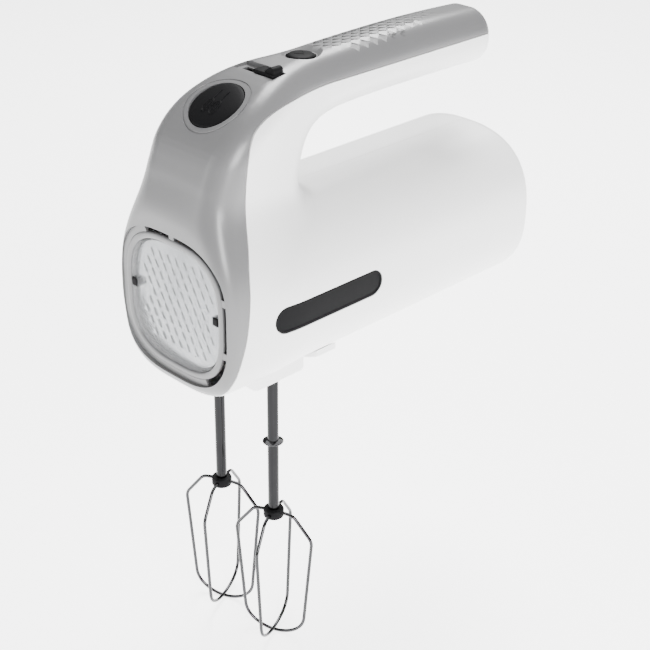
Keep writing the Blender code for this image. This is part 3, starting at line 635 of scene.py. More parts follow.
def round_min(a, b, radius):
    """Union of two signed distances with a filleted corner."""
    return -round_max(-a, -b, radius)


def ease(low, high, value):
    t = np.clip((value - low) / (high - low), 0, 1)
    return t * t * (3 - 2 * t)


SIDE_PROFILE = np.vstack([smooth_line(SIDE_OUTER, 6), smooth_line(SIDE_INNER, 6)])


def profile_distance(y, z):
    """Signed distance in the side view to the outline of the column and handle."""
    nearest = np.full(np.shape(y), 1e9)
    inside = np.zeros(np.shape(y), bool)
    for (ay, az), (by, bz) in zip(SIDE_PROFILE, np.roll(SIDE_PROFILE, -1, 0)):
        ey, ez = by - ay, bz - az
        length = ey * ey + ez * ez
        if length < 1e-9:
            continue
        t = np.clip(((y - ay) * ey + (z - az) * ez) / length, 0, 1)
        nearest = np.minimum(nearest, (y - ay - t * ey) ** 2 + (z - az - t * ez) ** 2)
        if az != bz:
            crosses = (az > z) != (bz > z)
            inside ^= crosses & (y < ay + (z - az) * ey / (bz - az))
    nearest = np.sqrt(nearest)
    return np.where(inside, -nearest, nearest)


def column_half_width(y, z):
    front = np.interp(z, COLUMN_HEIGHTS, COLUMN_HALF_WIDTHS)
    rear = ease(-25, 42, y)
    return front * (1 - rear) + GRIP_HALF_WIDTH * rear


def housing(x, y, z):
    """Signed distance to the housing: barrel and column with a blend between them."""
    across = np.abs(x)
    low = np.clip((BARREL_Z - z) / 20, 0, 1)
    power = BARREL_POWER + 0.8 * low * (1 - ease(-40, 10, y))
    half = BARREL_HALF_WIDTH - NOSE_TAPER * (1 - ease(-43, 0, y))
    up = np.abs(z - BARREL_Z) / BARREL_HALF_HEIGHT
    barrel = (((across / half) ** power + up ** power) ** (1 / power) - 1) * 40
    barrel = round_max(barrel, y - REAR_Y, 5.0)
    column = round_max(
        across - column_half_width(y, z), profile_distance(y, z), COLUMN_EDGE
    )
    column = round_max(column, y - HANDLE_REAR_Y, 3.5)
    both = round_min(barrel, column, 9 + 11 * (1 - ease(-30, 24, y)))
    return round_max(both, FRONT_Y - y, 7.0)


def contour_mesh(field, low, high, step):
    """Quads round the zero surface of a field, one vertex per crossed cell."""
    counts = [int(math.ceil((b - a) / step)) + 1 for a, b in zip(low, high)]
    axes = [a + step * np.arange(n) for a, n in zip(low, counts)]
    grid = np.stack(np.meshgrid(*axes, indexing="ij"), -1)
    value = field(*np.moveaxis(grid, -1, 0))

    def corner(offset):
        return tuple(slice(o, n - 1 + o) for o, n in zip(offset, counts))

    cells = [n - 1 for n in counts]
    total = np.zeros(cells + [3])
    hits = np.zeros(cells)
    for axis in range(3):
        first, second = [other for other in range(3) if other != axis]
        for i in (0, 1):
            for j in (0, 1):
                near = [0, 0, 0]
                near[first], near[second] = i, j
                far = list(near)
                far[axis] = 1
                a, b = value[corner(near)], value[corner(far)]
                crossed = (a < 0) != (b < 0)
                t = np.where(crossed, a / np.where(crossed, a - b, 1), 0)[..., None]
                point = grid[corner(near)] * (1 - t) + grid[corner(far)] * t
                total += np.where(crossed[..., None], point, 0)
                hits += crossed
    used = hits > 0
    number = -np.ones(cells, int)
    number[used] = np.arange(used.sum())
    points = total[used] / hits[used][:, None]
    quads = []
    for axis in range(3):
        order = [axis] + [other for other in range(3) if other != axis]
        turned_value = np.moveaxis(value, order, [0, 1, 2])
        cell = np.moveaxis(number, order, [0, 1, 2])
        inner = turned_value[:, 1:-1, 1:-1] < 0
        i, j, k = np.nonzero(inner[:-1] != inner[1:])
        quads.append(np.stack([
            cell[i, j, k], cell[i, j + 1, k], cell[i, j + 1, k + 1], cell[i, j, k + 1],
        ], 1))
    nudge = 0.05
    for _ in range(4):
        here = field(*points.T)
        slope = np.stack([
            (field(*(points + d).T) - field(*(points - d).T)) / (2 * nudge)
            for d in np.eye(3) * nudge
        ], 1)
        size = np.maximum((slope * slope).sum(1), 1e-3)
        points = points - (here / size)[:, None] * slope
    return points, np.vstack(quads)


def rimmed_prism(name, outline, low, high, bevel, steps=2):
    """A prism along y whose long edges stay crisp and whose rims are rounded."""
    bm = prism(outline, "y", low, high)
    rims = [
        edge for edge in bm.edges
        if abs(edge.verts[0].co.y - edge.verts[1].co.y) < 1e-6
    ]
    bmesh.ops.bevel(
        bm, geom=rims, offset=bevel, segments=steps, profile=0.5, affect="EDGES",
    )
    return solid(name, bm)


def tilt_axis():
    angle = math.radians(EJECT_TILT)
    return Vector((0, -math.sin(angle), math.cos(angle)))


def surface_steps(starts, way, far=14.0):
    """Distances along one direction from many points to the housing surface."""
    starts, way = np.array(starts, float), np.array(way, float)
    low = np.full(len(starts), -far)
    high = np.full(len(starts), far)
    for _ in range(24):
        middle = (low + high) / 2
        inside = housing(*(starts + way * middle[:, None]).T) < 0
        low = np.where(inside, middle, low)
        high = np.where(inside, high, middle)
    return low


def on_surface(starts, way, lift=0.0):
    """The points where lines through the given starts leave the housing."""
    steps = surface_steps(starts, way) + lift
    return np.array(starts, float) + np.array(way, float) * steps[:, None]


def flank(y, z):
    """Half widths of the housing at many places on its side."""
    starts = np.stack([np.full(len(y), 30.0), y, z], 1)
    return 30.0 + surface_steps(starts, (1, 0, 0), 30.0)


# ---- housing ----
def housing_skin(name, inset, step):
    points, quads = contour_mesh(
        lambda x, y, z: housing(x, y, z) + inset, (-48, -50, 146), (48, 164, 300), step
    )
    bm = bmesh.new()
    verts = [bm.verts.new(point) for point in points]
    for quad in quads:
        bm.faces.new([verts[index] for index in quad])
    return solid(name, bm)


def twin(obj, name):
    return link(name, obj.data.copy())


def column(items, key, width=1, kind=float):
    """One attribute of a mesh's vertices, corners or faces, a row for each."""
    values = np.empty(len(items) * width, kind)
    items.foreach_get(key, values)
    return values.reshape(-1, width)


def true_normals(obj):
    """Take outer corners' normals from the housing surface, so highlights run clean."""
    mesh = obj.data
    points = column(mesh.vertices, "co", 3) * 1000 - np.array([0, BEATER_Y, 0])
    step = 0.05
    slope = np.stack([
        housing(*(points + d).T) - housing(*(points - d).T) for d in np.eye(3) * step
    ], 1)
    slope /= np.maximum(np.linalg.norm(slope, axis=1), 1e-9)[:, None]
    outer = np.abs(housing(*points.T)) < 0.03
    corners = column(mesh.loops, "vertex_index", kind=np.int32).ravel()
    totals = column(mesh.polygons, "loop_total", kind=np.int32).ravel()
    face_normals = np.repeat(column(mesh.polygons, "normal", 3), totals, axis=0)
    close = (face_normals * slope[corners]).sum(1) > 0.93
    keep = outer[corners] & close
    normals = np.where(keep[:, None], slope[corners], 0.0)
    mesh.normals_split_custom_set([tuple(normal) for normal in normals])


def seam_region(name, shift):
    """Everything in front of and above the seam, moved by shift towards the fascia."""
    line = smooth_line(SEAM, 8) + np.array([-shift, shift])
    outline = [tuple(point) for point in line] + [(175, 330), (-80, 330), (-80, 140)]
    return solid(name, prism(outline, "x", -60, 60))


def badge_plate(y_range, radius, outer_depth, inner_depth, side, fine=14):
    """A plate with round ends that follows the flank between two depths."""
    bm = bmesh.new()
    start, end = y_range[0] + radius, y_range[1] - radius
    bends = np.linspace(0.06, math.pi / 2, fine)
    stations = [start - radius * math.cos(a) for a in bends]
    stations += list(np.linspace(start, end, 12)[1:-1])
    stations += [end + radius * math.cos(a) for a in bends[::-1]]
    spots = []
    for y in stations:
        over = max(start - y, y - end, 0)
        reach = math.sqrt(max(radius * radius - over * over, 0))
        spots += [(y, BADGE_Z + share * reach) for share in (-1, -0.5, 0, 0.5, 1)]
    y, z = np.array(spots).T
    width = flank(y, z)
    layers = []
    for depth in (outer_depth, inner_depth):
        made = [
            bm.verts.new((side * (w - depth), *spot)) for w, spot in zip(width, spots)
        ]
        rows = [made[5 * k:5 * k + 5] for k in range(len(stations))]
        layers.append(rows)
        for a, b in zip(rows, rows[1:]):
            for k in range(4):
                bm.faces.new([a[k], a[k + 1], b[k + 1], b[k]])
    top, bottom = layers
    last = len(stations) - 1
    for i in range(last):
        for k in (0, 4):
            bm.faces.new([top[i][k], top[i + 1][k], bottom[i + 1][k], bottom[i][k]])
    for i in (0, last):
        for k in range(4):
            bm.faces.new([top[i][k], top[i][k + 1], bottom[i][k + 1], bottom[i][k]])
    return bm


def shell_cuts():
    """Socket block, cord bush and rear air slots."""
    slots = [
        side_box(side, 9, 27, (148, z), (170, z + 2.4))
        for side in SIDES for z in (168, 174, 180, 186)
    ]
    return [
        solid("cut_socket", box((-25.4, -16.4, 140), (25.4, 16.4, 170))),
        solid("cut_bush", rod(7.3, (0, 0, 208), (0, 1, 0), 148, 170, 40)),
        solid("cut_slots", join(*slots)),
    ]


def screw_cuts(name):
    bores = []
    for y, z in CASE_SCREWS:
        reach = float(flank(np.array([y]), np.array([z]))[0])
        profile = [(0, -reach - 5), (3.4, -reach - 5), (3.4, -reach + 5.5)]
        profile += [(1.8, -reach + 5.5), (1.8, -5), (0, -5)]
        bores.append(turned(profile, (0, y, z), (1, 0, 0), 28))
    return solid("cut_bores_" + name, join(*bores))


def surface_groove(start, axis, radius, width, depth, steps=96):
    """A cutter for a shallow round groove that follows the housing surface."""
    bm = bmesh.new()
    axis = Vector(axis).normalized()
    across = Vector((1, 0, 0))
    other = axis.cross(across)
    feet, lifts = [], []
    for index in range(steps):
        angle = math.tau * index / steps
        way = across * math.cos(angle) + other * math.sin(angle)
        for offset, lift in ((-width, 0.4), (-width * 0.4, -depth),
                             (width * 0.4, -depth), (width, 0.4)):
            feet.append(Vector(start) + way * (radius + offset))
            lifts.append(lift)
    made = [bm.verts.new(point) for point in on_surface(feet, axis, np.array(lifts))]
    cover(bm, [made[4 * k:4 * k + 4] for k in range(steps)], around=True)
    return bm


def scale_cutter(x, y, reach, depth):
    """One diamond scale: deep at its front corner, running out to its rear corner."""
    bm = bmesh.new()
    corners = [(0, -1), (0.5, -0.5), (1, 0), (0.5, 0.5)]
    corners += [(-u, -v) for u, v in corners]
    feet = [(x + u * reach, y + v * reach, GRIP_TOP) for u, v in corners]
    sink = depth * np.array([0.04 + 0.48 * (1 - v) for _, v in corners])
    floor = [bm.verts.new(p) for p in on_surface(feet, (0, 0, 1), -sink)]
    lid = [bm.verts.new(p) for p in on_surface(feet, (0, 0, 1), 1.2)]
    bm.faces.new(floor[::-1])
    bm.faces.new(lid)
    cover(bm, [floor, lid])
    return bm


def grip_scales(rows, depth):
    """Rows of scales in a staggered lattice, wide in the middle and fading rearward."""
    pockets = []
    for row in range(rows):
        y = SCALE_START + row * SCALE_PITCH
        share = row / max(rows - 1, 1)
        limit = 9.4 * min(1.0, 0.4 + row * 0.14) * (1 - 0.6 * max(share - 0.6, 0) / 0.4)
        fade = 1.0 - 0.7 * max(share - 0.5, 0) / 0.5
        shift = SCALE_PITCH if row % 2 else 0.0
        for column in range(-2, 3):
            x = column * 2 * SCALE_PITCH + shift
            ease_off = 1.0 - 0.55 * (x / 11.0) ** 2
            if abs(x) <= limit:
                pockets.append(
                    scale_cutter(x, y, SCALE_PITCH * 0.9, depth * fade * ease_off)
                )
    return solid("cut_scales", join(*pockets))


def fascia_cuts(sizes):
    window = prism(window_line(OPENING_HALF), "y", -60, -30)
    eject = rod(EJECT_R + 0.4, EJECT_CENTRE, tilt_axis(), -9, 9, 96)
    recess = box((-12.4, SLIDER_Y - 3.9, 286.9), (12.4, SLIDER_Y + 3.9, 296))
    slot = box((-9.4, SLIDER_Y - 1.7, 270), (9.4, SLIDER_Y + 1.7, 296))
    turbo = rod(6.9, (0, TURBO_Y, 0), (0, 0, 1), 270, 300, 64)
    dish_profile = [(0, 289.0), (7.4, 289.0), (10.2, 291.0), (10.2, 300), (0, 300)]
    dish = turned(dish_profile, (0, TURBO_Y, 0), (0, 0, 1), 64)
    groove = surface_groove(EJECT_CENTRE, tilt_axis(), 15.6, 0.55, 0.35)
    shapes = {
        "window": window, "eject": eject, "recess": recess, "slot": slot,
        "turbo": turbo, "dish": dish, "groove": groove,
    }
    cutters = [solid("cut_" + name, shape) for name, shape in shapes.items()]
    cutters.append(grip_scales(sizes.scale_rows, sizes.scale_depth * 1000))
    return cutters


class MixerHousing(bpy.types.Operator):
    """Build the two white shells and the grey fascia with its grip scales"""

    bl_idname = "mixer.housing"
    bl_label = "Housing"

    def execute(self, context):
        sizes = context.scene.mixer_sizes
        gap = sizes.seam_gap * 1000
        outer = housing_skin("outer_surface", 0.0, SKIN_STEP)
        inner = housing_skin("inner_surface", WALL, LINING_STEP)
        for word, side in WORDS:
            shell = twin(outer, word + "_case")
            low, high = (-60, 0.1) if side > 0 else (-0.1, 60)
            half = solid("cut_half", box((low, -90, 130), (high, 190, 330)))
            plate = badge_plate(
                (BADGE_Y[0] - GAP, BADGE_Y[1] + GAP), BADGE_R + GAP, -12, 1.9, side
            )
            cutters = [seam_region("cut_front", -gap), half, twin(inner, "cut_inner")]
            cutters.append(solid("cut_badge", plate))
            if side < 0:
                cutters.append(screw_cuts(word))
            carve(shell, "DIFFERENCE", *cutters, *shell_cuts())
            put_on(shell, "white_shell", "housing", word + "_shell")
            true_normals(shell)
        fascia = twin(outer, "grey_cover")
        carve(fascia, "INTERSECT", seam_region("keep_front", gap))
        carve(fascia, "DIFFERENCE", twin(inner, "cut_inner"), *fascia_cuts(sizes))
        put_on(fascia, "grey_fascia", "housing", "front_fascia")
        true_normals(fascia)
        bpy.data.objects.remove(outer)
        bpy.data.objects.remove(inner)
        return {"FINISHED"}


# ---- window ----
def facet(bm, x, z, side, height, back):
    """One raised triangle with a flat top and sloping edges."""
    rise = side * math.sqrt(3) / 2
    corners = [(-side / 2, -rise / 3), (side / 2, -rise / 3), (0, rise * 2 / 3)]
    base = [bm.verts.new((x + a, back, z + b)) for a, b in corners]
    crest = [bm.verts.new((x + a * 0.7, back - height, z + b * 0.7)) for a, b in corners]
    bm.faces.new(crest)
    bm.faces.new(base[::-1])
    cover(bm, [base, crest])


def facet_field(side, height):
    """Rows of raised triangles that fill the middle of the insert."""
    bm = bmesh.new()
    across, up = side * 1.2, side * 1.08
    rows, columns = int(48 / up) // 2 + 1, int(50 / across) // 2 + 2
    for row in range(-rows, rows + 1):
        for column in range(-columns, columns + 1):
            x = (column + (row % 2) * 0.5) * across
            z = row * up
            inside = (abs(x) / 25.4) ** 3.2 + (abs(z) / 24.6) ** 3.2
            by_clip = abs(x) > 22.0 and -4.5 < z - 2.1 < 4.5
            if inside < 0.92 and not by_clip:
                facet(bm, x, WINDOW_Z + z, side, height, INSERT_FRONT + 0.02)
    return bm


def rounded_rim(name, outer, inner, front, back, round_by):
    """A closed ring between two squircles with a rounded front."""
    sections = []
    for t in np.linspace(0, math.pi, 9):
        share = (1 - math.cos(t)) / 2
        sections.append((share, front + round_by * (1 - math.sin(t))))
    bm = bmesh.new()
    rings = []
    for (ox, oz), (ix, iz) in zip(window_line(outer), window_line(inner)):
        neck = [(ox * RIM_NECK, back), (ox * RIM_NECK, front + 1.7), (ox, front + 1.7)]
        tall = [WINDOW_Z + (oz - WINDOW_Z) * RIM_NECK] * 2 + [oz]
        row = [bm.verts.new((x, y, height)) for (x, y), height in zip(neck, tall)]
        for share, y in sections:
            row.append(bm.verts.new((ox + (ix - ox) * share, y, oz + (iz - oz) * share)))
        row.append(bm.verts.new((ix, back, iz)))
        rings.append(row)
    cover(bm, rings, around=True)
    return solid(name, bm)


def gap_ledge(start, stop, steps=48):
    """The floor of the slot round the window where no air passes."""
    bm = bmesh.new()
    rows = []
    for angle in np.radians(np.linspace(start, stop, steps)):
        bend_x, bend_z = window_bend(angle)
        row = []
        for half, y in ((BEZEL_HALF, PANE_FRONT), (OPENING_HALF, PANE_FRONT),
                        (OPENING_HALF, LEDGE_BACK), (BEZEL_HALF, LEDGE_BACK)):
            lift = 0.05 if half is BEZEL_HALF else -0.12
            row.append(bm.verts.new(
                ((half[0] + lift) * bend_x, y, WINDOW_Z + (half[1] + lift) * bend_z)
            ))
        rows.append(row)
    cover(bm, rows)
    bm.faces.new(rows[0])
    bm.faces.new(rows[-1][::-1])
    return bm


class MixerWindow(bpy.types.Operator):
    """Build the window's rim, pane, faceted insert and the pair of clips"""

    bl_idname = "mixer.window"
    bl_label = "Window"

    def execute(self, context):
        sizes = context.scene.mixer_sizes
        hole = (WINDOW_HALF[0] + GAP, WINDOW_HALF[1] + GAP)
        rim = rounded_rim("window_rim", BEZEL_HALF, hole, RIM_FRONT, RIM_BACK, 0.7)
        ribs = []
        for angle in RIB_ANGLES:
            c, s = math.cos(math.radians(angle)), math.sin(math.radians(angle))
            start = Vector((c * 30.4, 0, s * 29.8))
            end = Vector((c * 34.6, 0, s * 33.8))
            if abs(c) > 0.3:
                start = Vector((math.copysign(30.6, c), 0, s * 30.0))
                end = Vector((math.copysign(34.4, c), 0, s * 30.0))
            along = (end - start).normalized()
            across = Vector((along.z, 0, -along.x)) * 1.6
            corners = [start - across, start + across, end + across, end - across]
            outline = [(point.x, point.z + WINDOW_Z) for point in corners]
            ribs.append(prism(outline, "y", PANE_FRONT, INSERT_FRONT))
        carve(rim, "UNION", solid("add_ribs", join(*ribs)))
        ledge = solid("window_ledge", gap_ledge(*LEDGE_ANGLES))
        put_on(ledge, "grey_fascia", "housing")
        put_on(rim, "grey_fascia", "housing", "window_bezel")
        pane = rimmed_prism(
            "window_pane", window_line(WINDOW_HALF), PANE_FRONT, PANE_BACK, 0.3
        )
        insert = rimmed_prism(
            "faceted_insert", window_line(INSERT_HALF), INSERT_FRONT, INSERT_BACK, 0.3
        )
        for obj, slot, node in (
            (pane, "clear_lens", "window_lens"),
            (insert, "silver_plate", "window_backing"),
        ):
            notches = [
                side_box(side, 25.2, 31.0, (-44, 192.8), (-30, 197.4)) for side in SIDES
            ]
            carve(obj, "DIFFERENCE", solid("cut_notches", join(*notches)))
            put_on(obj, slot, "housing", node)
        facets = facet_field(sizes.facet_side * 1000, sizes.facet_height * 1000)
        pattern = solid("insert_facets", facets)
        put_on(pattern, "silver_plate", "housing", sharp=math.radians(8))
        for word, side in WORDS:
            bm = side_box(side, 25.5, 28.9, (-40.8, 193.1), (-36.4, 197.1), 0.5, 3)
            clip = solid(word + "_clip", bm)
            put_on(clip, "charcoal_trim", "housing", word + "_window_clip")
        return {"FINISHED"}


# ---- badges, screws and base ----
class MixerBadges(bpy.types.Operator):
    """Build the plain charcoal plates set in the flanks"""

    bl_idname = "mixer.badges"
    bl_label = "Badges"

    def execute(self, context):
        for word, side in WORDS:
            plate = solid(
                word + "_plate", badge_plate(BADGE_Y, BADGE_R, 0.3, 1.55, side)
            )
            rim = badge_plate(BADGE_Y, BADGE_R, 0.02, 1.5, side)
            well = badge_plate(
                (BADGE_Y[0] + 0.9, BADGE_Y[1] - 0.9), BADGE_R - 0.9, -3, 2.5, side
            )
            border = carve(solid(word + "_border", rim), "DIFFERENCE",
                           solid("cut_well", well))
            put_on(plate, "charcoal_trim", "housing", word + "_badge")
            put_on(border, "charcoal_trim", "housing", word + "_badge")
        return {"FINISHED"}


class MixerBase(bpy.types.Operator):
    """Build the beater socket block, the base pad, the cord sleeve and the screws"""

    bl_idname = "mixer.base"
    bl_label = "Base and screws"

    def execute(self, context):
        block = solid("beater_socket", box((-25, -16, 148), (25, 16, 163), 3.2, 6))
        bores = [
            rod(SPINDLE_R + GAP, (side * AXIS_X, 0, 0), (0, 0, 1), 140, 170, 40)
            for side in SIDES
        ]
        carve(block, "DIFFERENCE", solid("cut_sockets", join(*bores)))
        put_on(block, "white_shell", "housing", "socket_block")
        outline = []
        for depth, order in ((-3.0, 1), (-0.45, -1)):
            for x in np.linspace(-29, 29, 33)[::order]:
                up = 1 - (abs(x) / (BARREL_HALF_WIDTH - depth)) ** BARREL_POWER
                reach = (BARREL_HALF_HEIGHT - depth) * up ** (1 / BARREL_POWER)
                outline.append((x, BARREL_Z - reach))
        pad = rimmed_prism("foot_pad", outline, 19, 31.4, 0.7, 3)
        put_on(pad, "white_shell", "housing", "base_pad")
        bush = [(3.4, 150.4), (9.2, 150.4), (9.2, 153.4), (7.0, 153.4)]
        bush += [(7.0, 156.0), (6.6, 156.4), (4.2, 156.4), (3.4, 155.6)]
        sleeve = turned(bush, (0, 0, 208), (0, 1, 0), 48, closed=True)
        put_on(solid("cord_sleeve", sleeve), "charcoal_trim", "housing", "cord_bush")
        for index, (y, z) in enumerate(CASE_SCREWS):
            self.screw(index + 1, y, z)
        return {"FINISHED"}

    def screw(self, number, y, z):
        head = -float(flank(np.array([y]), np.array([z]))[0]) + 2.6
        profile = [(0, head), (2.4, head), (3.0, head + 0.6), (3.0, head + 2.4)]
        profile += [(1.5, head + 2.6), (1.5, 7.5), (0, 8.6)]
        body = solid("pan_screw_%d" % number, turned(profile, (0, y, z), (1, 0, 0), 32))
        for a, b in ((1.7, 0.3), (0.3, 1.7)):
            slot = box((head - 1, y - a, z - b), (head + 1.1, y + a, z + b))
            carve(body, "DIFFERENCE", solid("cut_recess", slot))
        put_on(body, "steel", "housing", "case_screw_%d" % number)


# ---- controls ----
def on_eject(u, v):
    """A point just over the eject button's crown, u across and v up its slope."""
    axis = tilt_axis()
    up = axis.cross(Vector((1, 0, 0))).normalized()
    radius = math.hypot(u, v)
    height = float(np.interp(radius, (0, 7, 11), (0.9, 0.5, -0.2))) + MARK_LIFT
    return Vector(EJECT_CENTRE) + Vector((1, 0, 0)) * u + up * v + axis * height


class MixerControls(bpy.types.Operator):
    """Build the eject button, the boost button and the speed knob"""

    bl_idname = "mixer.controls"
    bl_label = "Controls"

    def execute(self, context):
        self.eject()
        self.boost()
        self.knob()
        for row in SPRINGS:
            self.coil(*row)
        return {"FINISHED"}

    def coil(self, name, node, joint, y, radius, low, high, thick, travel):
        """A compression spring coiled between its low and high ends."""
        points = [(x, y + across, z) for x, across, z in helix(radius, low, high)]
        curve = stroke(name, points, thick)
        graph = bpy.context.evaluated_depsgraph_get()
        mesh = bpy.data.meshes.new_from_object(curve.evaluated_get(graph))
        bpy.data.objects.remove(curve)
        spring = put_on(link(name, mesh), "steel", "housing", node)
        foot = world((0, y, low - thick))
        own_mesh(spring)

    def eject(self):
        crown = [(0, 0.9), (3.5, 0.8), (7, 0.5), (9, 0.2), (11, -0.2), (12.2, -0.55)]
        crown += [(12.65, -0.8), (EJECT_R, -1.2), (EJECT_R, -5.0)]
        flange = [(14.2, -5.0), (14.2, -6.3), (4, -6.3), (4, -15), (0, -15)]
        bm = turned(crown + flange, EJECT_CENTRE, tilt_axis(), 96)
        put_on(solid("eject_cap", bm), "charcoal_trim", "eject_cap", "eject_button")
        for word, side in WORDS:
            middle = side * 2.2
            lines = [[on_eject(middle, v) for v in np.linspace(1.2, 7.0, 5)]]
            for width in (1.9, 0.75):
                lines.append([
                    on_eject(middle + width * math.sin(turn), -2.4 + 3.6 * math.cos(turn))
                    for turn in np.linspace(0, math.tau, 21)
                ])
            for index, line in enumerate(lines):
                mark = stroke("%s_whisk_mark_%d" % (word, index), line, 0.3)
                put_on(mark, "charcoal_trim", "eject_cap")

    def boost(self):
        profile = [(0, 290.2), (2.5, 290.15), (4.5, 290.0), (5.6, 289.8), (6.2, 289.4)]
        profile += [(6.4, 289.0), (6.4, 285.2), (7.8, 285.2), (7.8, 284.2)]
        profile += [(2.2, 284.2), (2.2, 279.6), (0, 279.6)]
        bm = turned(profile, (0, TURBO_Y, 0), (0, 0, 1), 64)
        put_on(solid("boost_cap", bm), "charcoal_trim", "turbo_cap", "turbo_button")
        chevron = [(-1.6, TURBO_Y - 2.4, 290.12), (1.8, TURBO_Y, 290.2),
                   (-1.6, TURBO_Y + 2.4, 290.12)]
        mark = stroke("boost_mark", chevron, 0.22)
        put_on(mark, "charcoal_trim", "turbo_cap")

    def knob(self):
        y = SLIDER_Y
        knob = solid(
            "speed_knob", box((-0.6, y - 3.4, 287.2), (11.8, y + 3.4, 289.2), 0.6, 4)
        )
        outline = [(4.4, 288.2), (11.5, 288.2), (11.6, 290.6), (10.9, 291.5)]
        outline += [(9.9, 291.8), (8.6, 291.6), (7.4, 290.9), (6.0, 289.6)]
        nub = prism(outline, "y", y - 2.7, y + 3.3)
        bmesh.ops.bevel(
            nub, geom=nub.edges[:], offset=0.45, segments=3, profile=0.5, affect="EDGES",
        )
        stem = box((3.8, y - 1.3, 281.9), (8.2, y + 1.3, 288.2))
        foot = box((0.6, y - 3.4, 281.9), (11.4, y + 3.4, 283.9))
        for name, part in (("nub", nub), ("stem", stem), ("foot", foot)):
            carve(knob, "UNION", solid("add_" + name, part))
        put_on(knob, "charcoal_trim", "speed_knob", "speed_slider")


# ---- beaters ----
def eased_line(points, radius, steps=7):
    """Round each inner corner of a line with a short curve."""
    line = [np.array(point, float) for point in points]
    found = [line[0]]
    for before, corner, after in zip(line, line[1:], line[2:]):
        back, on = before - corner, after - corner
        a = corner + back * min(radius / np.linalg.norm(back), 0.45)
        b = corner + on * min(radius / np.linalg.norm(on), 0.45)
        for t in np.linspace(0, 1, steps + 1):
            found.append((1 - t) ** 2 * a + 2 * (1 - t) * t * corner + t * t * b)
    found.append(line[-1])
    return found


def loop_points(angle, bottom, centre_x):
    """A wire loop in an upright plane: out of the hub, down, across and back up."""
    side = eased_line(
        [(HUB_R - 0.4, 73.9), (10.3, 73.4), (LOOP_R, 60.7), (16.1, 13.3)], 2.6
    )
    start, end = np.array((16.1, 13.3)), np.array((0.0, bottom))
    first, second = np.array((15.5, 5.2)), np.array((7.5, bottom))
    arc = []
    for t in np.linspace(0, 1, 25)[1:]:
        arc.append((1 - t) ** 3 * start + 3 * (1 - t) ** 2 * t * first
                   + 3 * (1 - t) * t * t * second + t ** 3 * end)
    half = [tuple(point) for point in side + arc]
    c, s = math.cos(angle), math.sin(angle)
    whole = half + [(-r, z) for r, z in half[-2::-1]]
    return [(centre_x + r * c, r * s, z) for r, z in whole]


class MixerBeaters(bpy.types.Operator):
    """Build the two wire beaters: shafts, hubs, loops and the flange ring"""

    bl_idname = "mixer.beaters"
    bl_label = "Beaters"

    def execute(self, context):
        radius = context.scene.mixer_sizes.wire_radius * 1000
        for word, side in WORDS:
            body = word + "_beater"
            centre = (side * AXIS_X, 0, 0)
            shaft = [(0, HUB_LOW - 1.2), (1.9, HUB_LOW - 1.2), (SHAFT_R, HUB_LOW - 0.4),
                     (SHAFT_R, 194.5), (1.2, SHAFT_TOP), (0, SHAFT_TOP)]
            bm = turned(shaft, centre, (0, 0, 1), 48)
            rod_piece = solid(word + "_shaft", bm)
            put_on(rod_piece, "chrome_wire", body, word + "_beater_shaft")
            # The shafts take the darker copy of the steel, a painted dark reflection.
            rod_piece.data.materials[0] = finish_of("painted_dark_chrome")
            hub = [(SHAFT_R, HUB_LOW), (HUB_R - 0.9, HUB_LOW)]
            hub += [(HUB_R - 0.2, HUB_LOW + 0.3), (HUB_R, HUB_LOW + 0.9)]
            hub += [(HUB_R, HUB_HIGH - 0.8)]
            hub += [(HUB_R - 0.25, HUB_HIGH - 0.2), (HUB_R - 0.8, HUB_HIGH)]
            hub += [(SHAFT_R, HUB_HIGH)]
            bm = turned(hub, centre, (0, 0, 1), 48, closed=True)
            put_on(solid(word + "_hub", bm), "charcoal_trim", body, word + "_beater_hub")
            turn = math.radians(LOOP_TURN)
            loops = (
                ("low", turn, WIRE_R), ("high", turn + math.pi / 2, WIRE_R * 3 + 0.35),
            )
            for level, angle, bottom in loops:
                points = loop_points(angle, bottom, side * AXIS_X)
                name = "%s_loop_%s" % (word, level)
                loop = stroke(name, points, radius)
                loop.data.bevel_resolution = 4
                put_on(loop, "chrome_wire", body, "%s_wire_loop_%s" % (word, level))
        flange = [(SHAFT_R, 113.2), (4.7, 113.5), (5.0, 113.8), (5.0, 114.1)]
        flange += [(4.6, 114.4), (SHAFT_R, 114.8)]
        bm = turned(flange, (AXIS_X, 0, 0), (0, 0, 1), 48, closed=True)
        ring_piece = solid("flange_ring", bm)
        put_on(ring_piece, "chrome_wire", "right_beater", "right_beater_flange")
        return {"FINISHED"}


# ---- pieces kept from the frame ----
class MixerWorks(bpy.types.Operator):
    """Give the drive, motor and switch pieces their own finishes"""

    bl_idname = "mixer.works"
    bl_label = "Works"

    def execute(self, context):
        slots = {row["node"]: row["material_slot"] for row in frame["record"]["subparts"]}
        for node, obj in frame["nodes"].items():
            for spot in obj.material_slots:
                spot.material = finish_of(slots[node])
            if not obj.material_slots:
                obj.data.materials.append(finish_of(slots[node]))
        return {"FINISHED"}


# ---- stage ----
def area_light(name, place, size, power):
    light = bpy.data.lights.new(name, "AREA")
    light.shape = "RECTANGLE"
    light.size, light.size_y = size
    light.energy = power
    obj = link(name, light)
    obj.location = place
    way = Vector(place) - Vector(LIGHT_TARGET)
    obj.rotation_euler = way.to_track_quat("Z", "Y").to_euler()


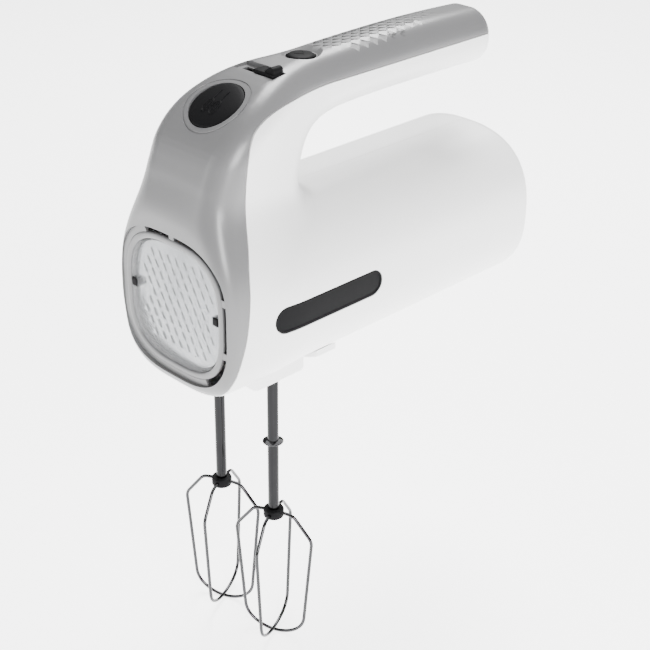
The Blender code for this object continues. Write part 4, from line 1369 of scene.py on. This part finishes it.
class MixerStage(bpy.types.Operator):
    """Set up the floor, the soft studio lights and the camera"""

    bl_idname = "mixer.stage"
    bl_label = "Stage"

    def execute(self, context):
        scene = context.scene
        level = CAD_BOX[0][2] * 1000
        edge = FLOOR_HALF
        bm = box((-edge, -edge, level - 8), (edge, edge, level - 0.02))
        floor = solid("studio_floor", bm)
        paint = Finish("floor_paint")
        place = paint.place()
        tone = tuple(scene.mixer_colours.floor)
        fine = paint.noise(place, 500.0, 2.0)
        paint.set(
            Base_Color=paint.blend(paint.noise(place, 3.0), shade(tone, 0.99), tone),
            Roughness=fine * 0.1 + 0.6,
        )
        paint.shader.inputs["Emission Color"].default_value = (1, 1, 1, 1)
        paint.shader.inputs["Emission Strength"].default_value = FLOOR_GLOW
        floor.data.materials.append(paint.material)
        sky = bpy.data.worlds.new("studio_sky")
        sky.use_nodes = True
        back = sky.node_tree.nodes["Background"]
        back.inputs["Color"].default_value = (1, 1, 1, 1)
        back.inputs["Strength"].default_value = SKY_STRENGTH
        scene.world = sky
        for row in LIGHTS:
            area_light(*row)
        self.camera(scene)
        return {"FINISHED"}

    def camera(self, scene):
        data = bpy.data.cameras.new("view")
        data.lens = CAMERA_LENS
        data.sensor_width = CAMERA_SENSOR
        obj = link("view", data)
        a, e = math.radians(CAMERA_AZIMUTH), math.radians(CAMERA_ELEVATION)
        roll = math.radians(CAMERA_ROLL)
        right = Vector((math.cos(a), math.sin(a), 0))
        level = Vector((math.sin(a), -math.cos(a), 0))
        back = level * math.cos(e) + Vector((0, 0, math.sin(e)))
        up = back.cross(right)
        tilted = right * math.cos(roll) + up * math.sin(roll)
        upward = up * math.cos(roll) - right * math.sin(roll)
        turn = Matrix((tilted, upward, back)).transposed().to_4x4()
        obj.matrix_world = Matrix.Translation(CAMERA_AT) @ turn
        scene.camera = obj


class MixerPanel(bpy.types.Panel):
    """Lists the operators and the settings of the hand mixer"""

    bl_idname = "VIEW3D_PT_mixer"
    bl_label = "Hand mixer"
    bl_space_type = "VIEW_3D"
    bl_region_type = "UI"
    bl_category = "Mixer"

    def draw(self, context):
        layout = self.layout
        for group in (context.scene.mixer_sizes, context.scene.mixer_colours):
            for key in group.__annotations__:
                layout.prop(group, key)
        for operator in OPERATORS:
            layout.operator(operator.bl_idname)


OPERATORS = (
    MixerStage, MixerWorks, MixerHousing, MixerWindow, MixerBadges, MixerBase,
    MixerControls, MixerBeaters,
)
CLASSES = (MixerSizes, MixerColours) + OPERATORS + (MixerPanel,)


def register():
    for item in CLASSES:
        bpy.utils.register_class(item)
    bpy.types.Scene.mixer_sizes = PointerProperty(type=MixerSizes)
    bpy.types.Scene.mixer_colours = PointerProperty(type=MixerColours)


def unregister():
    del bpy.types.Scene.mixer_colours
    del bpy.types.Scene.mixer_sizes
    for item in reversed(CLASSES):
        bpy.utils.unregister_class(item)


def main():
    register()
    for operator in OPERATORS:
        group, name = operator.bl_idname.split(".")
        getattr(getattr(bpy.ops, group), name)()


if __name__ == "__main__":
    main()
